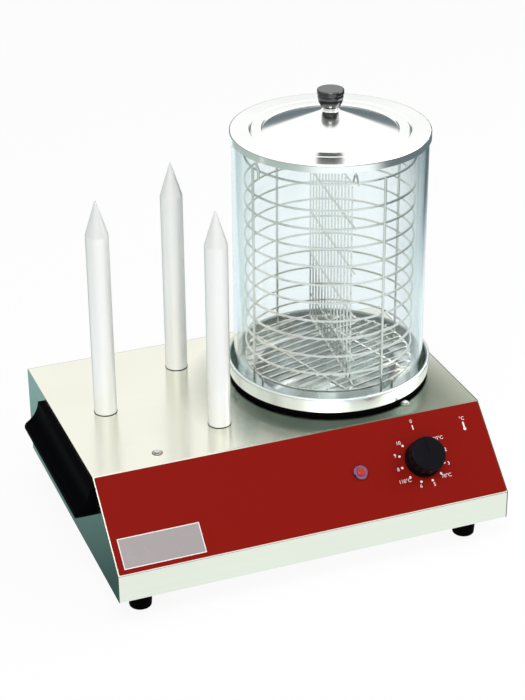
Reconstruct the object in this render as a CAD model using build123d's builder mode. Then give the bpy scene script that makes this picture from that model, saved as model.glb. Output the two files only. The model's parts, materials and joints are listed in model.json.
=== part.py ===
from build123d import *

import os
from math import atan2, cos, degrees, hypot, radians, sin, sqrt, tan

os.makedirs("parts", exist_ok=True)

# Hot dog machine: a sheet steel housing with a glass steam cylinder, a wire basket and three
# heated spikes. Millimetres, +X to the right of the user, +Y to the back, +Z up.
# The origin lies on the floor, under the middle of the whole machine.

# Housing
body_width = 390.0
body_depth = 300.0
deck_height = 122.0
housing_bottom = 28.5
lip_height = 29.0
slope_run = 70.5
sheet = 1.2
bend_radius = 2.4
flange = 12.0
rear_flange = 16.0
front_return = 14.0
end_relief = 0.3
overlay_thickness = 0.6
overlay_margin = 1.1
overlay_corner = 1.5

# Crossbar under the deck
crossbar_setback = 90.5
crossbar_width = 14.0
crossbar_drop = 12.0
crossbar_sheet = 1.5
deck_screw_side_inset = 68.5

# Vents in the back panel and the base plate
vent_length = 30.0
vent_width = 4.0
vent_pitch_x = 42.0
vent_pitch_z = 11.0
back_vent_columns = 4
back_vent_rows = 3
back_vent_side_inset = 125.0
base_vent_columns = 5
base_vent_rows = 4
base_vent_pitch_y = 16.0

# Feet
foot_side_inset = 29.0
foot_inset = 33.0
foot_top_radius = 12.5
foot_bottom_radius = 10.5
foot_well_radius = 5.5
foot_well_depth = 12.0
foot_edge_round = 1.5
foot_head_height = 3.0

# Lift handle on the left side
handle_length = 178.0
handle_setback = 61.0
handle_top_drop = 6.5
handle_height = 35.5
handle_reach = 21.0
handle_ledge = 6.0
handle_nose_up = 9.5
handle_lip_up = 4.5
handle_wall = 3.2
handle_front_block = 24.0
handle_rear_block = 11.0
handle_front_round = 18.0
handle_screw_depth = 6.0
handle_screw_rise = 18.5
handle_flute = 1.5
handle_shoulder_rise = 5.8
handle_lip_out = 0.4
handle_recess_top = 13.4
handle_recess_shoulder = 17.9
handle_recess_step = 0.6
handle_lip_wall = 2.9

# Spikes
spike_radius = 11.0
spike_length = 219.5
spike_tip_length = 34.0
spike_tip_radius = 0.6
spigot_radius = 9.0
spigot_length = 13.0
spike_bore_radius = 6.5
spike_bore_top = 150.0
cartridge_length = 135.0
cartridge_end_gap = 1.0
cartridge_lead = 6.0
spike_nut_radius = 13.5
spike_nut_height = 6.0
# Each spike, measured from the left side and from the front
spike_places = {"left": (47.5, 185.0), "rear": (141.0, 247.5), "front": (141.5, 122.0)}

# Water bowl with its rolled tray rim
bowl_side_inset = 109.5
bowl_setback = 185.5
bowl_sheet = 1.0
rim_radius = 101.5
rim_foot_radius = 99.5
rim_height = 15.5
rim_fold = 4.2
rim_lean = 2.0
rim_bend = 1.9
tray_bend = 3.0
well_bend = 10.0
well_radius = 72.0
well_bottom_radius = 66.0
well_depth = 50.0
seat_ring_height = 4.0
seat_ring_radius = 98.5
seat_ring_inner_radius = 89.0
stud_circle_radius = 82.5
stud_count = 3
stud_first_angle = 0.0
stud_length = 9.0

# Heating element under the bowl
heater_plate_radius = 56.0
heater_plate_thickness = 4.0
heater_path_radius = 42.0
heater_tube_radius = 4.0
heater_sweep = 300.0
heater_tail = 14.0
heater_clamp_angle = 60.0
heater_clamp_overhang = 4.0
heater_clamp_width = 14.0
heater_clamp_thickness = 2.0

# Glass cylinder and lid
glass_radius = 94.0
glass_wall = 3.0
glass_height = 251.0
glass_edge = 0.6
lid_radius = 96.0
lid_skirt = 8.0
lid_sheet = 1.0
lid_edge_radius = 1.8
lid_groove_radius = 76.0
lid_groove_depth = 0.6
lid_cone_radius = 64.5
lid_cone_step = 0.9
lid_rise = 17.6
lid_crown_radius = 9.0
neck_radius = 7.2
neck_height = 2.8
lid_knob_radius = 12.9
lid_knob_waist_radius = 12.1
lid_knob_belly_radius = 11.2
lid_knob_belly_rise = 5.2
lid_knob_foot_radius = 7.6
lid_knob_band = 4.6
lid_knob_height = 17.9
lid_knob_round = 1.5
lid_knob_lip_round = 0.5
lid_knob_screw_reach = 9.0
lid_screw_head_height = 3.0

# Wire basket
hoop_radius = 82.7
hoop_wire = 1.6
hoop_count = 11
hoop_pitch = 18.8
bottom_hoop_height = 13.8
top_hoop_gap = 26.4
upright_wire = 2.5
upright_angles = {"right": 12.0, "rear": 106.0, "left": 189.5, "front": 284.0}
foot_loop_angle = 9.5
foot_loop_height = 14.0
foot_loop_bend = 3.0
lug_angles = {"left": 196.0, "right": 26.0}
lug_drop = 7.0
lug_rise = 10.0
lug_lean = 3.0
rack_angle = 16.0
rack_wire = 1.8
rack_pitch = 10.5
rack_bars = 15
rack_crossbar_offset = 36.0
divider_angle = 83.0
divider_wire = 1.5
divider_pitch = 11.0
divider_bars = 14
divider_levels = 4
divider_level_pitch = 45.5
divider_first_level = 28.0
divider_below_top = 7.0
divider_end_gap = 1.5
divider_hook_rise = 8.5
divider_hook_in = 5.6
divider_hook_out = 3.4
divider_hook_drop = 1.5

# Indicator lamp and control knob, measured on the sloped panel from its lower edge
lamp_side_inset = 139.3
lamp_up = 48.3
lamp_bezel_radius = 7.2
lamp_bezel_height = 2.4
lamp_bezel_chamfer = 0.8
lamp_body_radius = 5.0
lamp_body_depth = 20.0
lamp_lens_radius = 4.6
lamp_lens_rise = 1.8
lamp_lens_round = 1.6
lamp_nut_radius = 7.5
lamp_nut_height = 3.0
knob_side_inset = 74.5
knob_up = 48.5
knob_radius = 18.4
knob_top_radius = 17.2
knob_height = 18.0
knob_skirt_height = 4.0
knob_wall = 2.4
knob_hollow = 4.0
knob_edge_round = 1.4
knob_pointer_width = 1.3
knob_pointer_depth = 0.5
knob_gap = 0.8
shaft_radius = 3.0
shaft_flat = 2.0
shaft_in_knob = 13.0
shaft_in_body = 12.0

# Thermostat
thermostat_width = 42.0
thermostat_height = 34.0
thermostat_depth = 26.0
thermostat_corner = 4.0
thermostat_screw_spacing = 22.0
thermostat_screw_depth = 6.0
probe_radius = 3.0
probe_length = 28.0
capillary_radius = 0.8
capillary_bend = 5.0
probe_angle = 262.0
probe_rise = 8.0
probe_lead = 14.0

# Cable gland and terminal block at the back
gland_side_inset = 75.0
gland_up = 36.0
gland_reach = 16.0
gland_flange_radius = 12.0
gland_flange_height = 5.0
gland_nut_radius = 10.0
gland_thread_radius = 8.0
gland_thread_depth = 10.0
gland_bore_radius = 4.5
gland_round = 2.5
locknut_height = 4.0
terminal_length = 48.0
terminal_width = 20.0
terminal_height = 16.0
terminal_ways = 4
terminal_setback = 44.0
terminal_corner = 1.5
terminal_hole_radius = 2.2
terminal_hole_depth = 5.0

# Fasteners and fits
small_screw_radius = 2.0
small_head_radius = 3.6
small_head_height = 1.9
head_taper = 18
screw_past = 3.0
stud_radius = 2.5
stud_nut_radius = 4.6
stud_nut_height = 4.0
stud_past_nut = 2.0
blind_end = 1.0
hole_clearance = 0.15
seat_gap = 0.1
running_gap = 0.08
wire_gap = 0.05
weld_bite = 0.2
cut_past = 1.0

# Places worked out from the sizes above
deck_screw_x = body_width / 2 - deck_screw_side_inset
foot_x = body_width / 2 - foot_side_inset
back_vent_x = body_width / 2 - back_vent_side_inset
bowl_x = body_width / 2 - bowl_side_inset
lamp_x = body_width / 2 - lamp_side_inset
knob_x = body_width / 2 - knob_side_inset
gland_x = gland_side_inset - body_width / 2
front_y = -(body_depth + gland_reach) / 2
back_y = front_y + body_depth
lip_top = housing_bottom + lip_height
slope_rise = deck_height - lip_top
slope_length = hypot(slope_rise, slope_run)
slope_angle = atan2(slope_rise, slope_run)
deck_under = deck_height - sheet
base_under = housing_bottom + sheet
base_top = base_under + sheet
inner_x = body_width / 2 - sheet
middle_shift = handle_reach / 2

bowl_y = front_y + bowl_setback
bowl_axis = Axis((bowl_x, bowl_y, 0), (0, 0, 1))
tray_under = deck_height + seat_ring_height
tray_floor = tray_under + bowl_sheet
rim_top = tray_under + rim_height
well_floor = tray_floor - well_depth
well_under = well_floor - bowl_sheet
glass_foot = tray_floor + seat_gap
glass_top = glass_foot + glass_height
lid_under = glass_top + seat_gap
lid_top = lid_under + lid_sheet
crown_top = lid_top + lid_rise
neck_top = crown_top + neck_height

slope_plane = Plane(
    origin=(0, front_y, lip_top),
    x_dir=(1, 0, 0),
    z_dir=(0, -sin(slope_angle), cos(slope_angle)),
)
overlay_plane = slope_plane.offset(overlay_thickness)
slope_inside = slope_plane.offset(-sheet)


def standing_plane(x, y):
    """A vertical plane through a point: its first axis runs along +X and its second along +Z."""
    return Plane(origin=(x, y, 0), x_dir=(1, 0, 0), z_dir=(0, -1, 0))


def save(piece, label):
    """Place a finished piece over the middle of the whole machine, name it and write its file."""
    placed = piece.part.moved(Location((middle_shift, 0, 0)))
    placed.label = label
    export_step(placed, f"parts/{label}.step")


bowl_section = standing_plane(bowl_x, bowl_y)

# Fastener places shared by the sheets that they hold
deck_screw_places = [(side * deck_screw_x, front_y + crossbar_setback) for side in (-1, 1)]
foot_places = {
    "front_left": (-foot_x, front_y + foot_inset),
    "front_right": (foot_x, front_y + foot_inset),
    "back_left": (-foot_x, back_y - foot_inset),
    "back_right": (foot_x, back_y - foot_inset),
}
spike_centres = {
    name: (inset - body_width / 2, front_y + setback)
    for name, (inset, setback) in spike_places.items()
}
side_flange_x = inner_x - flange / 2
front_flange_y = front_y + (sheet + front_return) / 2
back_flange_y = back_y - sheet - flange / 2
base_screw_places = [
    (side * body_width / 4, y) for side in (-1, 1) for y in (front_flange_y, back_flange_y)
] + [(side * side_flange_x, (front_y + back_y) / 2) for side in (-1, 1)]
back_screw_z = deck_height - rear_flange / 2 - bend_radius / 2
back_screw_x = [share * body_width for share in (-0.42, -0.14, 0.14, 0.42)]
handle_top = deck_height - handle_top_drop
handle_bottom = handle_top - handle_height
handle_screw_z = handle_bottom + handle_screw_rise
handle_back_y = front_y + handle_setback + handle_length
handle_screw_y = [
    front_y + handle_setback + handle_front_block / 2,
    handle_back_y - handle_rear_block / 2,
]
stud_places = [
    (
        bowl_x + stud_circle_radius * cos(radians(stud_first_angle + 360 * i / stud_count)),
        bowl_y + stud_circle_radius * sin(radians(stud_first_angle + 360 * i / stud_count)),
    )
    for i in range(stud_count)
]
thermostat_screws_at = [
    (knob_x + side * thermostat_screw_spacing / 2, knob_up) for side in (-1, 1)
]

# Top cover: deck, sloped panel and front lip bent from one sheet
with BuildPart() as top_cover:
    with BuildSketch(Plane.YZ):
        with BuildLine():
            FilletPolyline(
                (back_y - sheet, deck_height - rear_flange),
                (back_y - sheet, deck_height),
                (front_y + slope_run, deck_height),
                (front_y, lip_top),
                (front_y, housing_bottom),
                (front_y + front_return, housing_bottom),
                radius=bend_radius,
            )
            offset(amount=sheet, side=Side.LEFT)
        make_face()
    extrude(amount=body_width / 2, both=True)
    # Both end flanges stop short of the side panels
    with BuildSketch(Plane.YZ.offset(inner_x - end_relief)):
        with Locations((back_y - sheet, deck_under)):
            Rectangle(flange, rear_flange + sheet, align=(Align.CENTER, Align.MAX))
        with Locations((front_y + sheet, housing_bottom)):
            Rectangle(front_return, bend_radius, align=(Align.MIN, Align.MIN))
    flange_ends = extrude(amount=sheet + end_relief, mode=Mode.SUBTRACT)
    mirror(flange_ends, about=Plane.YZ, mode=Mode.SUBTRACT)
    # Openings in the deck: bowl, bowl studs, spikes and screws
    with BuildSketch(Plane.XY.offset(deck_under)):
        with Locations((bowl_x, bowl_y)):
            Circle(well_radius + bowl_sheet + 2 * sheet)
        with Locations(*stud_places):
            Circle(stud_radius + hole_clearance)
        with Locations(*spike_centres.values()):
            Circle(spigot_radius + hole_clearance)
        with Locations(*deck_screw_places):
            Circle(small_screw_radius + hole_clearance)
    extrude(amount=sheet, mode=Mode.SUBTRACT)
    # Openings in the sloped panel: lamp, thermostat shaft and its two screws
    with BuildSketch(slope_inside):
        with Locations((lamp_x, lamp_up)):
            Circle(lamp_body_radius + hole_clearance)
        with Locations((knob_x, knob_up)):
            Circle(shaft_radius + sheet)
        with Locations(*thermostat_screws_at):
            Circle(small_screw_radius + hole_clearance)
    extrude(amount=sheet, mode=Mode.SUBTRACT)
    # Screw holes in the bottom return and in the rear flange
    with BuildSketch(Plane.XY.offset(housing_bottom)):
        with Locations(*[place for place in base_screw_places if place[1] == front_flange_y]):
            Circle(small_screw_radius + hole_clearance)
    extrude(amount=sheet, mode=Mode.SUBTRACT)
    with BuildSketch(Plane.XZ.offset(-(back_y - sheet))):
        with Locations(*[(x, back_screw_z) for x in back_screw_x]):
            Circle(small_screw_radius + hole_clearance)
    extrude(amount=sheet, mode=Mode.SUBTRACT)
save(top_cover, "top_cover")

# Front overlay: the coloured panel on the slope
with BuildPart() as front_overlay:
    with BuildSketch(slope_plane):
        with Locations((0, slope_length / 2)):
            RectangleRounded(
                body_width - 2 * overlay_margin, slope_length - 2 * overlay_margin, overlay_corner
            )
        with Locations((lamp_x, lamp_up)):
            Circle(lamp_body_radius + hole_clearance, mode=Mode.SUBTRACT)
        with Locations((knob_x, knob_up)):
            Circle(shaft_radius + sheet, mode=Mode.SUBTRACT)
        with Locations(*thermostat_screws_at):
            Circle(small_head_radius + hole_clearance, mode=Mode.SUBTRACT)
    extrude(amount=overlay_thickness)
save(front_overlay, "front_overlay")

# Inner line of the bent cover, which the side panels follow
slope_foot_z = lip_top - sheet * cos(slope_angle) + sheet * (1 - sin(slope_angle)) * tan(slope_angle)
slope_head_y = (
    front_y + sheet * sin(slope_angle) + (deck_under - lip_top + sheet * cos(slope_angle)) / tan(slope_angle)
)


def side_panel(side):
    """One side panel, with a flange under the deck and one over the base edge."""
    with BuildPart() as panel:
        with BuildSketch(Plane.YZ.offset(side * inner_x)) as outline:
            with BuildLine():
                Polyline(
                    (front_y + sheet, housing_bottom),
                    (front_y + sheet, slope_foot_z),
                    (slope_head_y, deck_under),
                    (back_y - sheet, deck_under),
                    (back_y - sheet, housing_bottom),
                    close=True,
                )
            make_face()
            upper = [v for v in outline.vertices() if v.Y > (housing_bottom + lip_top) / 2]
            slope_bends = [v for v in upper if v.X < (slope_head_y + back_y) / 2]
            fillet(slope_bends, bend_radius - sheet)
            if side < 0:
                with Locations(*[(y, handle_screw_z) for y in handle_screw_y]):
                    Circle(small_screw_radius + hole_clearance, mode=Mode.SUBTRACT)
        extrude(amount=side * sheet)
        # Flanges turned inwards at the top and at the bottom
        with BuildSketch(Plane.XY.offset(deck_under - sheet)):
            with Locations((side * inner_x, (slope_head_y + back_y) / 2)):
                Rectangle(
                    flange,
                    back_y - slope_head_y - 2 * flange,
                    align=(Align.MIN if side < 0 else Align.MAX, Align.CENTER),
                )
        extrude(amount=sheet)
        with BuildSketch(Plane.XY.offset(housing_bottom)):
            with Locations((side * inner_x, (front_y + back_y) / 2)):
                Rectangle(
                    flange,
                    body_depth - 2 * (front_return + flange),
                    align=(Align.MIN if side < 0 else Align.MAX, Align.CENTER),
                )
            with Locations((side * side_flange_x, (front_y + back_y) / 2)):
                Circle(small_screw_radius + hole_clearance, mode=Mode.SUBTRACT)
        extrude(amount=sheet)
    return panel


for side, label in ((-1, "side_panel_left"), (1, "side_panel_right")):
    save(side_panel(side), label)

# Back panel with vents, the cable inlet and a bottom flange
with BuildPart() as back_panel:
    with BuildSketch(Plane.XZ.offset(-back_y)):
        with Locations((0, housing_bottom)):
            Rectangle(
                body_width, deck_height - bend_radius - housing_bottom, align=(Align.CENTER, Align.MIN)
            )
        with Locations((back_vent_x, housing_bottom + gland_up)):
            with GridLocations(vent_pitch_x, vent_pitch_z, back_vent_columns, back_vent_rows):
                SlotOverall(vent_length, vent_width, mode=Mode.SUBTRACT)
        with Locations((gland_x, housing_bottom + gland_up)):
            Circle(gland_thread_radius + hole_clearance, mode=Mode.SUBTRACT)
        with Locations(*[(x, back_screw_z) for x in back_screw_x]):
            Circle(small_screw_radius + hole_clearance, mode=Mode.SUBTRACT)
    extrude(amount=sheet)
    with BuildSketch(Plane.XY.offset(housing_bottom)):
        with Locations((0, back_y - sheet)):
            Rectangle(2 * (inner_x - end_relief), flange, align=(Align.CENTER, Align.MAX))
        with Locations(*[place for place in base_screw_places if place[1] == back_flange_y]):
            Circle(small_screw_radius + hole_clearance, mode=Mode.SUBTRACT)
    extrude(amount=sheet)
save(back_panel, "back_panel")

# Base plate, lying on the bottom flanges
with BuildPart() as base_plate:
    with BuildSketch(Plane.XY.offset(base_under)):
        with Locations((0, back_y - sheet - end_relief)):
            Rectangle(
                2 * (inner_x - end_relief),
                body_depth - sheet - bend_radius - 2 * end_relief,
                align=(Align.CENTER, Align.MAX),
            )
        with Locations((0, (front_y + back_y) / 2)):
            with GridLocations(vent_pitch_x, base_vent_pitch_y, base_vent_columns, base_vent_rows):
                SlotOverall(vent_length, vent_width, mode=Mode.SUBTRACT)
        with Locations(*foot_places.values()):
            Circle(stud_radius + hole_clearance, mode=Mode.SUBTRACT)
        with Locations(*base_screw_places):
            Circle(small_screw_radius + hole_clearance, mode=Mode.SUBTRACT)
    extrude(amount=sheet)
save(base_plate, "base_plate")

# Angle bar under the front of the deck, held by the two deck screws
crossbar_half = inner_x - flange - 2 * sheet
with BuildPart() as deck_crossbar:
    with BuildSketch(Plane.YZ):
        with BuildLine():
            FilletPolyline(
                (front_y + crossbar_setback - crossbar_width / 2, deck_under),
                (front_y + crossbar_setback + crossbar_width / 2, deck_under),
                (front_y + crossbar_setback + crossbar_width / 2, deck_under - crossbar_drop),
                radius=bend_radius,
            )
            offset(amount=crossbar_sheet, side=Side.RIGHT)
        make_face()
    extrude(amount=crossbar_half, both=True)
    with BuildSketch(Plane.XY.offset(deck_under)):
        with Locations(*deck_screw_places):
            Circle(small_screw_radius + hole_clearance)
    extrude(amount=-crossbar_sheet, mode=Mode.SUBTRACT)
save(deck_crossbar, "deck_crossbar")


def screws(head_planes, grip, head_radius=small_head_radius):
    """Round-headed screws: each plane lies under a head and faces it, and the shank runs back."""
    with BuildPart() as group:
        for plane in head_planes:
            with BuildSketch(plane):
                Circle(head_radius)
            extrude(amount=small_head_height, taper=head_taper)
            with BuildSketch(plane):
                Circle(small_screw_radius)
            extrude(amount=-grip)
    return group


def nuts(planes, corner_radius, bore_radius, height):
    """Hexagon nuts: each plane lies under a nut, which stands on it along its normal."""
    with BuildPart() as group:
        for plane in planes:
            with BuildSketch(plane):
                RegularPolygon(corner_radius, 6)
                Circle(bore_radius, mode=Mode.SUBTRACT)
            extrude(amount=height)
    return group


def up(x, y, z):
    """A level plane at a point, facing up."""
    return Plane(origin=(x, y, z), x_dir=(1, 0, 0), z_dir=(0, 0, 1))


def down(x, y, z):
    """A level plane at a point, facing down."""
    return Plane(origin=(x, y, z), x_dir=(1, 0, 0), z_dir=(0, 0, -1))


deck_screws = screws([up(x, y, deck_height) for x, y in deck_screw_places], sheet + crossbar_sheet + screw_past)
save(deck_screws, "deck_screws")
base_screws = screws([down(x, y, housing_bottom) for x, y in base_screw_places], 2 * sheet + screw_past)
save(base_screws, "base_screws")
back_screws = screws(
    [Plane(origin=(x, back_y, back_screw_z), x_dir=(1, 0, 0), z_dir=(0, 1, 0)) for x in back_screw_x],
    2 * sheet + screw_past,
)
save(back_screws, "back_screws")
handle_screws = screws(
    [
        Plane(origin=(-inner_x, y, handle_screw_z), x_dir=(0, 1, 0), z_dir=(1, 0, 0))
        for y in handle_screw_y
    ],
    sheet + handle_screw_depth,
)
save(handle_screws, "handle_screws")

# Rubber feet, each screwed up into the base plate
for name, (x, y) in foot_places.items():
    with BuildPart() as foot:
        with BuildSketch(standing_plane(x, y)) as foot_section:
            with BuildLine():
                Polyline(
                    (stud_radius + hole_clearance, foot_well_depth),
                    (foot_well_radius, foot_well_depth),
                    (foot_well_radius, 0),
                    (foot_bottom_radius, 0),
                    (foot_top_radius, base_under),
                    (stud_radius + hole_clearance, base_under),
                    close=True,
                )
            make_face()
            outer_edge = foot_section.vertices().sort_by(Axis.X)[-2:].sort_by(Axis.Y)[0]
            fillet(outer_edge, foot_edge_round)
        revolve(axis=Axis((x, y, 0), (0, 0, 1)))
    save(foot, f"foot_{name}")

foot_screw_planes = [down(x, y, foot_well_depth) for x, y in foot_places.values()]
with BuildPart() as foot_screws:
    for plane in foot_screw_planes:
        with BuildSketch(plane):
            Circle(foot_well_radius - 4 * hole_clearance)
        extrude(amount=foot_head_height)
        with BuildSketch(plane):
            Circle(stud_radius)
        extrude(amount=-(base_top - foot_well_depth + stud_nut_height + stud_past_nut))
save(foot_screws, "foot_screws")
foot_nuts = nuts(
    [up(x, y, base_top) for x, y in foot_places.values()],
    stud_nut_radius,
    stud_radius + running_gap,
    stud_nut_height,
)
save(foot_nuts, "foot_nuts")


def handle_point(out, z):
    """A point of the lift handle's section, from its reach out of the left side and its height."""
    return (-(body_width / 2 + out), z)


# Lift handle: a ledge that curves out to a nose, hollow below for the fingers
nose_z = handle_bottom + handle_nose_up
lip_z = handle_bottom + handle_lip_up
handle_neck = handle_reach - handle_wall
shoulder_z = nose_z + handle_shoulder_rise
lip_out = handle_neck + handle_lip_out
recess_top_z = handle_top - handle_recess_top
handle_front_y = front_y + handle_setback
with BuildPart() as handle_left:
    with BuildSketch(Plane.XZ.offset(-handle_back_y)):
        with BuildLine():
            Polyline(
                handle_point(handle_wall, handle_bottom),
                handle_point(0, handle_bottom),
                handle_point(0, handle_top),
                handle_point(handle_ledge, handle_top),
            )
            ThreePointArc(
                handle_point(handle_ledge, handle_top),
                handle_point((handle_ledge + handle_neck) / 2 - handle_flute, (handle_top + nose_z) / 2),
                handle_point(handle_neck, shoulder_z),
            )
            ThreePointArc(
                handle_point(handle_neck, shoulder_z),
                handle_point(handle_reach, nose_z),
                handle_point(lip_out, lip_z),
            )
            Line(handle_point(lip_out, lip_z), handle_point(handle_wall, handle_bottom))
        make_face()
    extrude(amount=handle_length)
    # Finger recess, open below, between the back wall and the curved ledge
    with BuildSketch(Plane.XZ.offset(-(handle_back_y - handle_rear_block))):
        with BuildLine():
            Polyline(
                handle_point(handle_wall, handle_bottom - cut_past),
                handle_point(handle_wall, recess_top_z),
            )
            ThreePointArc(
                handle_point(handle_wall, recess_top_z),
                handle_point(handle_ledge + handle_recess_step, handle_top - handle_recess_shoulder),
                handle_point(handle_neck - handle_wall, nose_z + handle_recess_step),
            )
            Polyline(
                handle_point(handle_neck - handle_wall, nose_z + handle_recess_step),
                handle_point(handle_neck - handle_lip_wall, handle_bottom - cut_past),
                handle_point(handle_wall, handle_bottom - cut_past),
            )
        make_face()
    extrude(amount=handle_length - handle_rear_block - handle_front_block, mode=Mode.SUBTRACT)
    # Rounded lower corner at the front
    with BuildSketch(Plane.YZ.offset(-body_width / 2)):
        with BuildLine():
            Line((handle_front_y, handle_bottom), (handle_front_y, handle_bottom + handle_front_round))
            RadiusArc(
                (handle_front_y, handle_bottom + handle_front_round),
                (handle_front_y + handle_front_round, handle_bottom),
                -handle_front_round,
            )
            Line((handle_front_y + handle_front_round, handle_bottom), (handle_front_y, handle_bottom))
        make_face()
    extrude(amount=-handle_reach, mode=Mode.SUBTRACT)
    # Blind holes for the screws that come through the side panel
    with BuildSketch(Plane.YZ.offset(-body_width / 2)):
        with Locations(*[(y, handle_screw_z) for y in handle_screw_y]):
            Circle(small_screw_radius + running_gap)
    extrude(amount=-(handle_screw_depth + blind_end), mode=Mode.SUBTRACT)
save(handle_left, "handle_left")

# Spikes: pointed tubes that stand on the deck, with a threaded spigot below it
for name, (x, y) in spike_centres.items():
    with BuildPart() as spike:
        with BuildSketch(standing_plane(x, y)):
            with BuildLine():
                Polyline(
                    (spike_bore_radius, deck_under - spigot_length),
                    (spigot_radius, deck_under - spigot_length),
                    (spigot_radius, deck_height),
                    (spike_radius, deck_height),
                    (spike_radius, deck_height + spike_length - spike_tip_length),
                    (spike_tip_radius, deck_height + spike_length),
                    (0, deck_height + spike_length),
                    (0, deck_height + spike_bore_top),
                    (spike_bore_radius, deck_height + spike_bore_top),
                    close=True,
                )
            make_face()
        revolve(axis=Axis((x, y, 0), (0, 0, 1)))
    save(spike, f"spike_{name}")

spike_nuts = nuts(
    [down(x, y, deck_under) for x, y in spike_centres.values()],
    spike_nut_radius,
    spigot_radius + running_gap,
    spike_nut_height,
)
save(spike_nuts, "spike_nuts")

# Cartridge heaters inside the spikes, with their lead ends below
with BuildPart() as spike_heaters:
    for x, y in spike_centres.values():
        cartridge_top = deck_height + spike_bore_top - cartridge_end_gap
        lead_end = deck_under - spigot_length - cartridge_lead
        with BuildSketch(up(x, y, cartridge_top - cartridge_length)):
            Circle(spike_bore_radius - running_gap)
        extrude(amount=cartridge_length)
        with BuildSketch(up(x, y, lead_end)):
            Circle(spike_bore_radius / 2)
        extrude(amount=cartridge_top - cartridge_length - lead_end)
save(spike_heaters, "spike_heaters")

# Water bowl: tray rim folded double, tray floor and deep well, spun from one sheet
with BuildPart() as water_bowl:
    with BuildSketch(bowl_section):
        with BuildLine():
            FilletPolyline(
                (rim_foot_radius, tray_under + bowl_sheet / 2),
                (rim_radius, rim_top),
                (rim_radius - rim_fold, rim_top),
                (rim_radius - rim_fold - rim_lean, tray_floor),
                (well_radius, tray_floor),
                (well_bottom_radius, well_floor),
                (0, well_floor),
                radius=[rim_bend, rim_bend, tray_bend, tray_bend, well_bend],
            )
            offset(amount=bowl_sheet, side=Side.LEFT)
        make_face()
    revolve(axis=bowl_axis)
    # Studs welded under the tray floor, and one under the middle of the well
    with BuildSketch(Plane.XY.offset(deck_under - stud_length)):
        with Locations(*stud_places):
            Circle(stud_radius)
    extrude(amount=tray_under + bowl_sheet / 2 - (deck_under - stud_length))
    heater_stack = heater_plate_thickness + 2 * heater_tube_radius + heater_clamp_thickness
    centre_stud = heater_stack + stud_nut_height + stud_past_nut
    with BuildSketch(Plane.XY.offset(well_under - centre_stud)):
        with Locations((bowl_x, bowl_y)):
            Circle(stud_radius)
    extrude(amount=centre_stud + bowl_sheet / 2)
save(water_bowl, "water_bowl")

# Black ring that the tray sits on
with BuildPart() as bowl_seat_ring:
    with BuildSketch(Plane.XY.offset(deck_height)):
        with Locations((bowl_x, bowl_y)):
            Circle(seat_ring_radius)
            Circle(seat_ring_inner_radius, mode=Mode.SUBTRACT)
    extrude(amount=seat_ring_height)
save(bowl_seat_ring, "bowl_seat_ring")

bowl_nuts = nuts(
    [down(x, y, deck_under) for x, y in stud_places],
    stud_nut_radius,
    stud_radius + running_gap,
    stud_nut_height,
)
save(bowl_nuts, "bowl_nuts")

# Heating element: spreader plate, ring of tubular heater, clamp bar and nut
with BuildPart() as heater_plate:
    with BuildSketch(Plane.XY.offset(well_under)):
        with Locations((bowl_x, bowl_y)):
            Circle(heater_plate_radius)
            Circle(stud_radius + hole_clearance, mode=Mode.SUBTRACT)
    extrude(amount=-heater_plate_thickness)
save(heater_plate, "heater_plate")

heater_z = well_under - heater_plate_thickness - heater_tube_radius
with BuildPart() as bowl_heater:
    with BuildSketch(bowl_section):
        with Locations((heater_path_radius, heater_z)):
            RegularPolygon(heater_tube_radius, 8, major_radius=False, rotation=22.5)
    revolve(axis=bowl_axis, revolution_arc=heater_sweep)
    for turn in (0, heater_sweep):
        tail_x = bowl_x + heater_path_radius * cos(radians(turn))
        tail_y = bowl_y + heater_path_radius * sin(radians(turn))
        with BuildSketch(down(tail_x, tail_y, heater_z + heater_tube_radius)):
            Circle(heater_tube_radius)
        extrude(amount=heater_tube_radius + heater_tail)
save(bowl_heater, "bowl_heater")

clamp_top = well_under - heater_plate_thickness - 2 * heater_tube_radius
with BuildPart() as heater_clamp:
    with BuildSketch(Plane.XY.offset(clamp_top)):
        with Locations(Location((bowl_x, bowl_y), heater_clamp_angle)):
            SlotOverall(
                2 * (heater_path_radius + heater_tube_radius + heater_clamp_overhang), heater_clamp_width
            )
        with Locations((bowl_x, bowl_y)):
            Circle(stud_radius + hole_clearance, mode=Mode.SUBTRACT)
    extrude(amount=-heater_clamp_thickness)
save(heater_clamp, "heater_clamp")

heater_nut = nuts(
    [down(bowl_x, bowl_y, clamp_top - heater_clamp_thickness)],
    stud_nut_radius,
    stud_radius + running_gap,
    stud_nut_height,
)
save(heater_nut, "heater_nut")

# Glass cylinder
with BuildPart() as glass_cylinder:
    with BuildSketch(Plane.XY.offset(glass_foot)):
        with Locations((bowl_x, bowl_y)):
            Circle(glass_radius)
            Circle(glass_radius - glass_wall, mode=Mode.SUBTRACT)
    extrude(amount=glass_height)
    rims = glass_cylinder.edges().filter_by(GeomType.CIRCLE)
    chamfer(rims, glass_edge)
save(glass_cylinder, "glass_cylinder")

# Lid: flat annulus with a turned-down skirt, a fine groove and a shallow raised cone
with BuildPart() as lid:
    with BuildSketch(bowl_section):
        with BuildLine():
            FilletPolyline(
                (lid_radius, lid_top - lid_skirt),
                (lid_radius, lid_top),
                (lid_groove_radius + 2 * lid_groove_depth, lid_top),
                radius=lid_edge_radius,
            )
            Polyline(
                (lid_groove_radius + 2 * lid_groove_depth, lid_top),
                (lid_groove_radius, lid_top - lid_groove_depth),
                (lid_groove_radius - 2 * lid_groove_depth, lid_top),
                (lid_cone_radius + lid_cone_step, lid_top),
                (lid_cone_radius, lid_top - lid_cone_step),
                (lid_crown_radius, crown_top),
                (stud_radius + hole_clearance, crown_top),
            )
            offset(amount=lid_sheet, side=Side.LEFT)
        make_face()
    revolve(axis=bowl_axis)
save(lid, "lid")

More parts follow.
